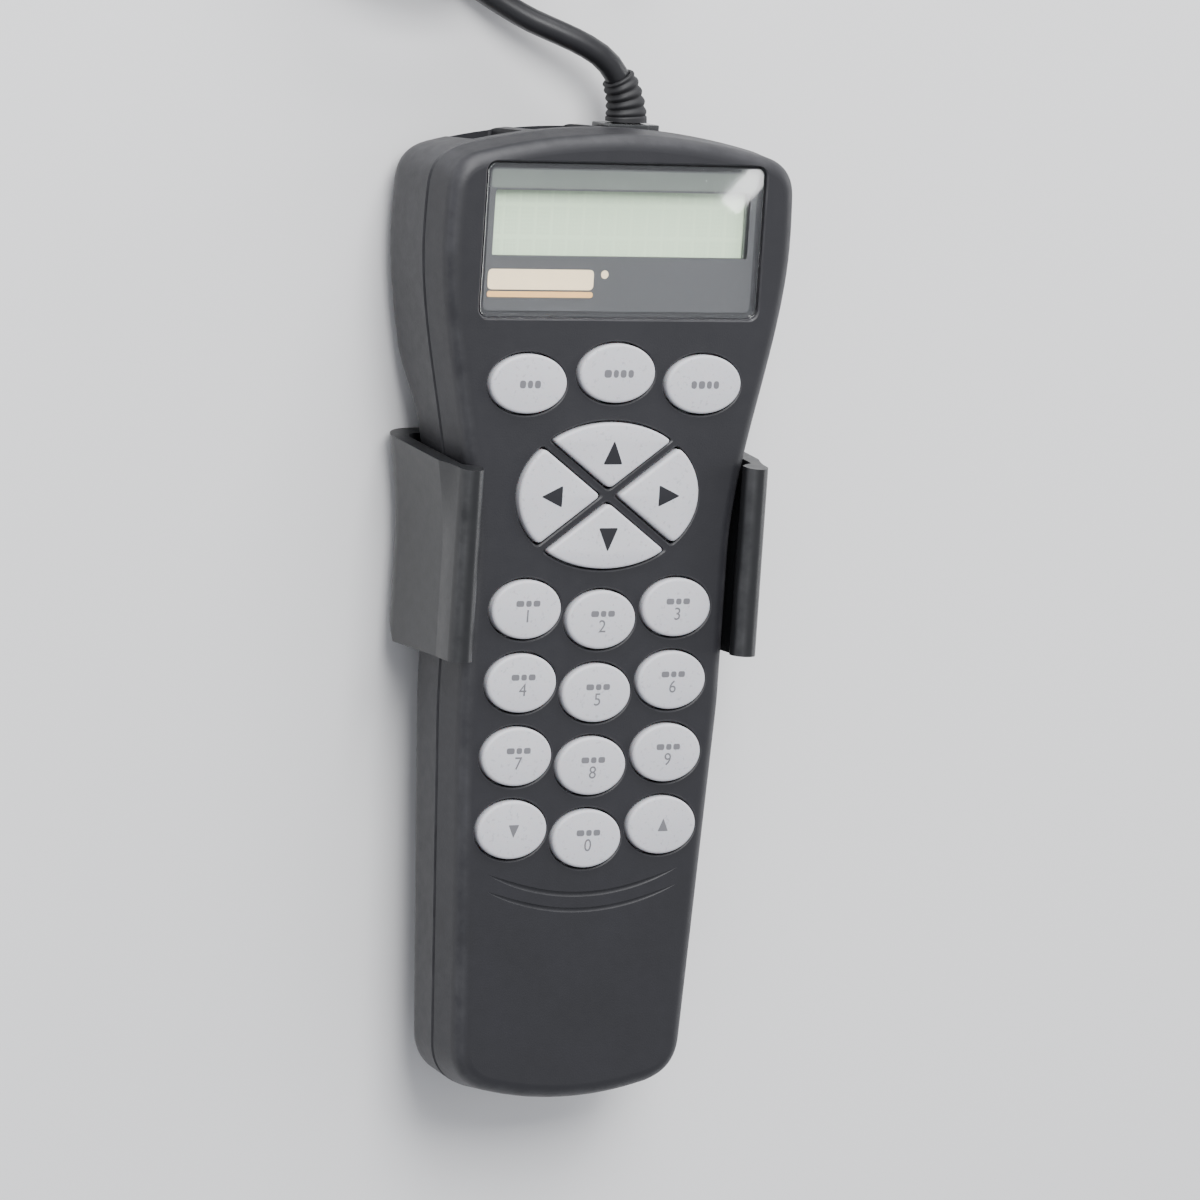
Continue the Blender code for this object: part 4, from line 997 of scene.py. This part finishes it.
def keys():
    bpy.context.view_layer.update()
    figures = iter("1234567890")
    caps = {node: key_cap(node) for node in KEYS}
    bpy.context.view_layer.update()
    for node, cap in caps.items():
        x, y = centre_of(*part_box(node))
        bm = bmesh.new()
        if node in KEY_TURNS:
            turn = KEY_TURNS[node]
            outwards = (1.8 * MM, 0.3 * MM)[turn % 2]
            shift = Matrix.Rotation(math.pi / 2 * turn, 2) @ Vector((outwards, 0.0))
            arrow(bm, (x + shift.x, y + shift.y), turn)
        elif node.endswith("_top"):
            dashes(bm, (x, y), [width * MM for width in KEY_BARS[node.split("_")[1]]], 1.5 * MM)
        elif node in ("key_r4_left", "key_r4_right"):
            arrow(bm, (x, y), 3 if node.endswith("left") else 1)
            away = Matrix.Translation((-x, -y, 0.0))
            bmesh.ops.scale(bm, vec=(0.55, 0.55, 1.0), verts=bm.verts, space=away)
        else:
            bm.from_mesh(digit_mesh(next(figures), 3.5 * MM))
            bmesh.ops.translate(bm, verts=bm.verts, vec=(x, y - 1.3 * MM, 0.0))
            dashes(bm, (x, y + 1.25 * MM), (1.7 * MM, 1.2 * MM, 1.5 * MM), 1.15 * MM)
        legend(node, cap, bm, BLACK_INK if node in KEY_TURNS else GREY_INK)


# Holder


def holder_section(inside):
    """The right half of the holder's channel as (x, z), from under the plate round to its top."""
    outside = inside + ARM_WALL
    lip_in = GRIP_WIDTH / 2 - LIP_REACH
    lip_radius = LIP_WIDTH / 2
    lip_z = HOLDER_HIGH.z - lip_radius
    inner = HOLDER_CORNER - ARM_WALL
    points = arc((outside - HOLDER_CORNER, HOLDER_CORNER), HOLDER_CORNER, range(-90, 1, 10))
    rise = [blend(HOLDER_CORNER, FACE_Z - LIP_NECK, share / 5) for share in range(1, 6)]
    points += [(outside, z) for z in rise]
    points += corner(
        (outside, FACE_Z - LIP_NECK + 0.4 * MM), (lip_in + LIP_WIDTH, lip_z - LIP_SHOULDER - 1.2 * MM),
        (lip_in + LIP_WIDTH, lip_z - 0.2 * MM), 4,
    )
    points += arc((lip_in + lip_radius, lip_z), lip_radius, range(0, 181, 12))
    points += corner(
        (lip_in, lip_z - 0.6 * MM), (lip_in, FACE_Z + LIP_CATCH[0]), (inside, FACE_Z - LIP_CATCH[1]), 4
    )
    fall = [blend(FACE_Z - 2 * MM, SEAT_Z + inner, share / 5) for share in range(6)]
    points += [(inside, z) for z in fall[:-1]]
    return points + arc((inside - inner, SEAT_Z + inner), inner, range(0, -91, -10))


def holder():
    """A channel whose arms follow the controller's flare and curl over its edges."""
    stations = 36
    low, end = HOLDER_LOW.y, HOLDER_HIGH.y
    levels = [z for _, z in holder_section(0.0)]
    rings = []
    for station in range(stations + 1):
        right = []
        for index, z in enumerate(levels):
            y = blend(low, end - HOLDER_SLANT * z / HOLDER_HIGH.z, station / stations)
            x = holder_section(half_width(y) + ARM_CLEARANCE)[index][0]
            right.append((x, y, z))
        rings.append(right + [(-x, y, z) for x, y, z in reversed(right)])
    made = loft("holder_clip", rings, HOLDER)
    cutters = []
    for side in (-1, 1):
        x, y = side * HOLDER_HOLE_AT[0], HOLDER_HOLE_AT[1]
        cutters.append(cone("hole", (x, y, -MM), (x, y, SEAT_Z + MM), HOLDER_HOLE, count=40))
        sink = SEAT_Z - HOLDER_HOLE
        cutters.append(cone("sink", (x, y, sink), (x, y, SEAT_Z + MM), HOLDER_HOLE, 2 * HOLDER_HOLE + MM, 40))
    slope = math.atan2(HOLDER_HEEL, HOLDER_HEEL_RUN)
    far = 60 * MM
    heel = block("heel", (-far, -far, -far), (far, far, 0.0))
    heel.data.transform(Matrix.Translation((0.0, low, HOLDER_HEEL)) @ Matrix.Rotation(-slope, 4, "X"))
    carve(made, [*cutters, heel])
    soften(made, 0.45 * MM, 3, 50)
    finished(made, "holder_plastic", "holder_cradle", body="holder")


# Sockets, plugs and screws


def row(x, count):
    """Places side by side at the contacts' pitch, with x in their middle."""
    return [x + (number - (count - 1) / 2) * CONTACT_PITCH for number in range(count)]


def contacts(count, x, y, z, length):
    """A row of gold wires that slope down into a socket."""
    wires = []
    for wire_x in row(x, count):
        start = Vector((wire_x, y, z))
        bend = start + Vector((0.0, -length * 0.3, -CONTACT_DROP))
        end = start + Vector((0.0, -length, -CONTACT_DROP * 0.55))
        for a, b in ((start, bend), (bend, end)):
            wires.append(cone("wire", a, b, CONTACT_WIRE / 2, count=8, material=BRASS))
    return wires


def modular_jack(node, cavity, keyway, count):
    """A modular socket with a stepped keyway, its rim softened, and its row of contacts."""
    low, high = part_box(node)
    body = block(f"{node}_block", low, high, JACK, 0.25 * MM)
    x = (low.x + high.x) / 2
    z = (low.z + high.z) / 2
    width, height, depth = cavity
    front = high.y

    def hole(half, bottom, top, reach):
        return block("cavity", (x - half, front - reach, bottom), (x + half, front + MM, top))

    cutters = [
        hole(width / 2, z - height / 2, z + height / 2 - 1.9 * MM, depth),
        hole(keyway / 2, z, z + height / 2, depth * 0.6),
    ]
    carve(body, cutters)
    wires = contacts(count, x, front - 1.6 * MM, z - height / 2 + 2.3 * MM, depth * 0.75)
    finished(joined(f"{node}_socket", [body, *wires]), "black_moulding", node)


def power_jack():
    low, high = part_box("power_jack")
    x, z = (low.x + high.x) / 2, (low.z + high.z) / 2
    body = block("power_block", low, high, JACK, 0.25 * MM)

    def turned(start, end, radius, end_radius=None, count=48, material=None):
        """A round piece on the socket's axis, its ends so many mm from the rim."""
        ends = ((x, high.y + start * MM, z), (x, high.y + end * MM, z))
        return cone("turned", *ends, radius * MM, (end_radius or radius) * MM, count, material)

    carve(body, [turned(-9.5, 1.0, 3.2), turned(-0.4, 0.4, 3.2, 4.0)])
    sleeve = carve(turned(-9.3, -1.0, 3.12, material=STEEL), [turned(-9.2, 0.0, 2.9)])
    pin = turned(-9.5, -1.9, 1.0, count=28, material=BRASS)
    tip = turned(-1.9, -1.5, 1.0, 0.5, 28, BRASS)
    finished(joined("power_socket", [body, sleeve, pin, tip]), "black_moulding", "power_jack")


def modular_plug(name, node, low, high):
    """A clear plug with its blades and latch. Its tip points to -Y."""
    top = high.z - PLUG_LATCH
    x = (low.x + high.x) / 2
    shell = block("shell", low, (high.x, high.y, top), SMOKED, 0.3 * MM)
    slots, blades = [], []
    for at in row(x, 8):
        slots.append(block("slot", (at - 0.3 * MM, low.y - MM, low.z - MM),
                           (at + 0.3 * MM, low.y + 3.2 * MM, low.z + 1.6 * MM)))
        blades.append(block("blade", (at - 0.16 * MM, low.y + 0.4 * MM, low.z + 0.35 * MM),
                            (at + 0.16 * MM, low.y + 3.1 * MM, low.z + 2.6 * MM), BRASS))
    pocket = block("pocket", (x - 3.4 * MM, high.y - 6.6 * MM, low.z + 1.2 * MM),
                   (x + 3.4 * MM, high.y + MM, top - 1.2 * MM))
    carve(shell, [*slots, pocket])
    half = 1.7 * MM
    lever = loft("lever", [
        [(x - half, y, z), (x + half, y, z), (x + half, y, z + 0.75 * MM), (x - half, y, z + 0.75 * MM)]
        for y, z in (
            (low.y + 1.5 * MM, top - 0.5 * MM), (low.y + 3.0 * MM, top - 0.2 * MM),
            (low.y + 7.0 * MM, top + 0.15 * MM), (low.y + 11.1 * MM, top + 0.34 * MM),
        )
    ], SMOKED)
    return finished(joined(name, [shell, lever, *blades]), "plug_plastic", node)


def turned_left(across, distance, radius):
    angle = distance / radius
    return (radius + across) * math.cos(angle) - radius, (radius + across) * math.sin(angle)


def boot(name, node, x, y, z, bend=None):
    """A ribbed, tapered strain relief."""
    rings = []
    steps, ribs = 46, 5
    count = 36

    def ring(share, wide, high):
        made = []
        for turn in range(count):
            angle = 2 * math.pi * turn / count
            squash = 0.82
            cx = math.copysign(abs(math.cos(angle)) ** squash, math.cos(angle))
            cz = math.copysign(abs(math.sin(angle)) ** squash, math.sin(angle))
            across, distance = wide * cx, BOOT_LENGTH * share
            if bend:
                across, distance = turned_left(across, distance, bend)
            made.append((x + across, y + distance, z + high * cz))
        return made

    for step in range(steps + 1):
        share = step / steps
        shape = ease(share)
        wide = blend(BOOT_WIDE[0] / 2, BOOT_NARROW, shape)
        high = blend(BOOT_WIDE[1] / 2, BOOT_NARROW, shape)
        wave = 0.5 + 0.5 * math.cos(2 * math.pi * ribs * share)
        cut = 0.42 * MM * (1 - wave**0.6) if 0.12 < share < 0.97 else 0.0
        round_off = 0.35 * MM * max(0.0, (share - 0.95) / 0.05)
        rings.append(ring(share, wide - cut - round_off, high - cut - round_off))
    inside = CORD_DIAMETER / 2 + 0.05 * MM
    rings.append(ring(1.0, inside, inside))
    rings.append(ring(0.8, inside, inside))
    return finished(loft(name, rings, RUBBER), "boot_rubber", node, angle=60)


def case_screw(number):
    """A pan-head screw with a cross recess, its head downwards."""
    node = f"case_screw_{number}"
    low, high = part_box(node)
    centre = centre_of(low, high)
    head = low.z + SCREW_HEAD
    profile = [(1.2, low.z), (1.75, low.z + 0.12 * MM), (2.15, low.z + 0.4 * MM),
               (2.36, low.z + 0.85 * MM), (2.4, head), (1.3, head)]
    thread = head + 1.2 * MM
    while thread < high.z - 1.6 * MM:
        profile += [(1.05, thread), (1.3, thread + 0.25 * MM)]
        thread += 0.5 * MM
    profile.append((0.9, high.z - 0.9 * MM))
    rings = [at_level(ellipse(centre, (radius * MM, radius * MM), 32), z) for radius, z in profile]
    made = loft(f"screw_{number}", rings, STEEL)
    recess = []
    (x, y), end = centre, low.z + 0.95 * MM
    for wide, deep in ((1.35 * MM, 0.27 * MM), (0.27 * MM, 1.35 * MM)):
        recess.append(block("cross", (x - wide, y - deep, low.z - MM), (x + wide, y + deep, end)))
    carve(made, recess)
    finished(made, "screw_steel", node, angle=40)


# Cord


def smooth_route(route, spacing):
    """Points every spacing along a smooth curve through the route's points."""
    points = [Vector(p) for p in route]
    ends = [2 * points[0] - points[1], *points, 2 * points[-1] - points[-2]]
    fine = []
    for a, b, c, d in zip(ends, ends[1:], ends[2:], ends[3:]):
        for step in range(20):
            t = step / 20
            bend = 2 * b + (c - a) * t + (2 * a - 5 * b + 4 * c - d) * t**2 + (3 * b - a - 3 * c + d) * t**3
            fine.append(bend / 2)
    fine.append(points[-1])
    length = length_of(fine)
    count = max(2, round(length / spacing))
    kept, walked = [fine[0]], 0.0
    for p, q in zip(fine, fine[1:]):
        walked += (q - p).length
        if walked >= len(kept) * length / count - 1e-9:
            kept.append(q)
    return kept


def length_of(points):
    return sum((q - p).length for p, q in zip(points, points[1:]))


def coil_place(turn):
    """Radius and height of the cord this many turns into its coil: inwards, up, and out again."""
    step = CORD_DIAMETER
    slots = (COIL_RADIUS + step, COIL_RADIUS, COIL_RADIUS - step, COIL_RADIUS - step, COIL_RADIUS,
             COIL_RADIUS + step, COIL_RADIUS + step)
    lap = min(int(turn), len(slots) - 1)
    radius = slots[lap]
    slide = ease((turn - lap) / 0.3)
    if lap:
        radius = blend(slots[lap - 1], slots[lap], slide)
    level = ease((turn - 2.7) / 0.28) + ease((turn - 5.7) / 0.28)
    return radius, STRAP + GAP + step * (0.5 + level)


def cord():
    exit_x = (PLUG_LOW.x + PLUG_HIGH.x) / 2
    exit_point = Vector((exit_x, PLUG_HIGH.y + GAP, (PLUG_LOW.z + PLUG_HIGH.z - PLUG_LATCH) / 2))
    lead = []
    for share in (0.0, 0.33, 0.67, 1.0):
        x, y = turned_left(0.0, (BOOT_LENGTH + GAP) * share, BOOT_BEND)
        lead.append(exit_point + Vector((x, y, 0.0)))
    lead += [Vector(p) * MM for p in LEAD_ROUTE]

    coil = []
    per_turn = 40
    for step in range(round(COIL_TURNS * per_turn) + 1):
        turn = step / per_turn
        radius, z = coil_place(turn)
        angle = -math.pi / 2 - 2 * math.pi * turn
        coil.append(COIL_CENTRE + Vector((radius * math.cos(angle), radius * math.sin(angle), z)))

    far_x = (FAR_LOW.x + FAR_HIGH.x) / 2
    far_z = (FAR_LOW.z + FAR_HIGH.z - PLUG_LATCH) / 2
    arrives = FAR_HIGH.y + GAP
    tail = [Vector(p) * MM for p in TAIL_ROUTE]
    tail += [Vector((far_x, arrives + BOOT_LENGTH, far_z)), Vector((far_x, arrives, far_z))]

    into = smooth_route([*lead, coil[0], coil[2]], 3 * MM)[:-1]
    into = [p for p in into if (p - coil[0]).length > 2.5 * MM]
    out = smooth_route([coil[-3], coil[-1], *tail], 3 * MM)
    out = [p for p in out if (p - coil[-1]).length > 2.5 * MM and p.x > coil[-1].x]
    points = [*into, *coil, *out]

    curve = bpy.data.curves.new("cord", "CURVE")
    curve.dimensions = "3D"
    curve.bevel_depth = CORD_DIAMETER / 2
    curve.bevel_resolution = 5
    curve.use_fill_caps = True
    spline = curve.splines.new("POLY")
    spline.points.add(len(points) - 1)
    for slot, point in zip(spline.points, points):
        slot.co = (*point, 1.0)
    spline.use_smooth = True
    curve.materials.append(JACKET)
    made = placed("cord", curve)
    finished(made, "cord_jacket", "cord_lead", "cord_coil", "cord_tail")
    on_cord = [
        modular_plug("cord_plug", "handset_plug", PLUG_LOW, PLUG_HIGH),
        boot("cord_boot", "handset_boot", *exit_point, BOOT_BEND),
        modular_plug("end_plug", "far_plug", FAR_LOW, FAR_HIGH),
        boot("end_boot", "far_boot", far_x, arrives, far_z),
        strap(),
    ]


def strap():
    """A hook-and-loop band round the coil's turns."""
    half = 1.5 * CORD_DIAMETER
    reach = STRAP_WIDTH / 2 / COIL_RADIUS
    middle = (COIL_RADIUS, STRAP + GAP + half)

    def section(grow):
        side = 2 * (half + grow)
        return rounded_rectangle(middle, side, side, CORD_DIAMETER / 2 + grow, 8)

    inner, outer = section(0.25 * MM), section(STRAP + 0.15 * MM)
    bm = bmesh.new()
    steps = 10
    shells = []
    for loop in (inner, outer):
        rings = []
        for step in range(steps + 1):
            angle = STRAP_ANGLE + reach * (2 * step / steps - 1)
            across = Vector((math.cos(angle), math.sin(angle), 0.0))
            rings.append([bm.verts.new(COIL_CENTRE + across * r + Vector((0.0, 0.0, z))) for r, z in loop])
        shells.append(rings)
    count = len(inner)
    for i in range(count):
        j = (i + 1) % count
        for step in range(steps):
            for rings in shells:
                bm.faces.new((rings[step][i], rings[step][j], rings[step + 1][j], rings[step + 1][i]))
        for end in (0, steps):
            a, b = shells[0][end], shells[1][end]
            bm.faces.new((a[i], a[j], b[j], b[i]))
    band = soften(object_from(bm, "band", WEBBING), 0.2 * MM, 2, 60)
    return finished(band, "strap_fabric", "cord_strap", angle=50)


# What the case hides keeps its CAD shape


def dress_cad_nodes():
    looks = {
        "lcd_frame": BEZEL, "lcd_glass": DISPLAY, "backlight_panel": DIFFUSER, "lcd_board": LAMINATE,
        "header_strip": JACK, "keypad_mat": MAT, "main_board": LAMINATE, "processor": PACKAGE,
        "memory_chip": PACKAGE, "regulator": PACKAGE, "crystal": STEEL, "buzzer": JACK,
    }
    looks.update({f"board_screw_{number}": STEEL for number in (1, 2, 3)})
    for node, material in looks.items():
        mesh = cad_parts[node].data
        mesh.materials.clear()
        mesh.materials.append(material)


# Studio


def camera():
    """A long lens from above the controller's left shoulder."""
    toward = Vector((-0.495, 0.143, 0.857)).normalized()
    right = Vector((0.0, 0.986, -0.165)).cross(toward).normalized()
    right = Matrix.Rotation(math.radians(-0.9), 3, toward) @ right
    up = toward.cross(right)
    data = bpy.data.cameras.new("camera")
    data.lens = 200
    data.sensor_width = 36
    width = 234 * MM
    distance = width * data.lens / data.sensor_width
    data.clip_start, data.clip_end = 0.05, 20
    made = placed("camera", data)
    aim = Vector((8.0 * MM, 2.0 * MM, FACE_Z / 2))
    turn = Matrix((right, up, toward)).transposed().to_4x4()
    made.matrix_world = Matrix.Translation(aim + toward * distance) @ turn
    bpy.context.scene.camera = made


def lamp(name, place, aim, size, power, along_it=(1.0, 0.0, 0.0)):
    """A rectangular light that faces aim, its longer side as near along_it as that allows."""
    data = bpy.data.lights.new(name, "AREA")
    data.shape = "RECTANGLE"
    data.size, data.size_y = size
    data.energy = power
    made = placed(name, data)
    back = (Vector(place) - aim).normalized()
    side = (Vector(along_it) - back * back.dot(Vector(along_it))).normalized()
    turn = Matrix((side, back.cross(side), back)).transposed().to_4x4()
    made.matrix_world = Matrix.Translation(place) @ turn


def studio():
    world = bpy.data.worlds.new("studio")
    world.use_nodes = True
    sky = world.node_tree.nodes["Background"].inputs
    sky["Color"].default_value = (0.92, 0.94, 1.0, 1.0)
    sky["Strength"].default_value = 0.6
    bpy.context.scene.world = world
    middle = Vector((0.0, 0.02, 0.01))
    lamp("overhead", (-0.15, 0.75, 1.1), middle, (0.7, 0.7), 20.0)
    lamp("display_end", (0.05, 1.2, 0.4), middle, (0.9, 0.45), 12.0)
    lamp("side", (1.25, 0.2, 0.4), middle, (0.8, 0.35), 5.0, (0.0, 1.0, 0.0))
    glint_at = Vector((WINDOW_HIGH.x - 2.5 * MM, WINDOW_HIGH.y - 2.5 * MM, WINDOW_HIGH.z))
    seen = (bpy.context.scene.camera.matrix_world.translation - glint_at).normalized()
    mirrored = Vector((-seen.x, -seen.y, seen.z))
    lamp("corner_glint", glint_at + mirrored * 0.6, glint_at, (0.02, 0.006), 0.008, (1.0, 1.0, 0.0))

    floor = bmesh.new()
    below = Matrix.Translation((0.0, 0.0, -0.05 * MM))
    bmesh.ops.create_grid(floor, x_segments=8, y_segments=8, size=3.0, matrix=below)
    object_from(floor, "floor", studio_floor())


camera()
cord()
front_case()
back_case()
window()
keys()
holder()
modular_jack("control_jack", (12.2 * MM, 8.9 * MM, 13.2 * MM), 4.4 * MM, 8)
modular_jack("serial_jack", (10.0 * MM, 8.9 * MM, 10.5 * MM), 3.6 * MM, 6)
power_jack()
for number in range(1, 5):
    case_screw(number)
dress_cad_nodes()
studio()
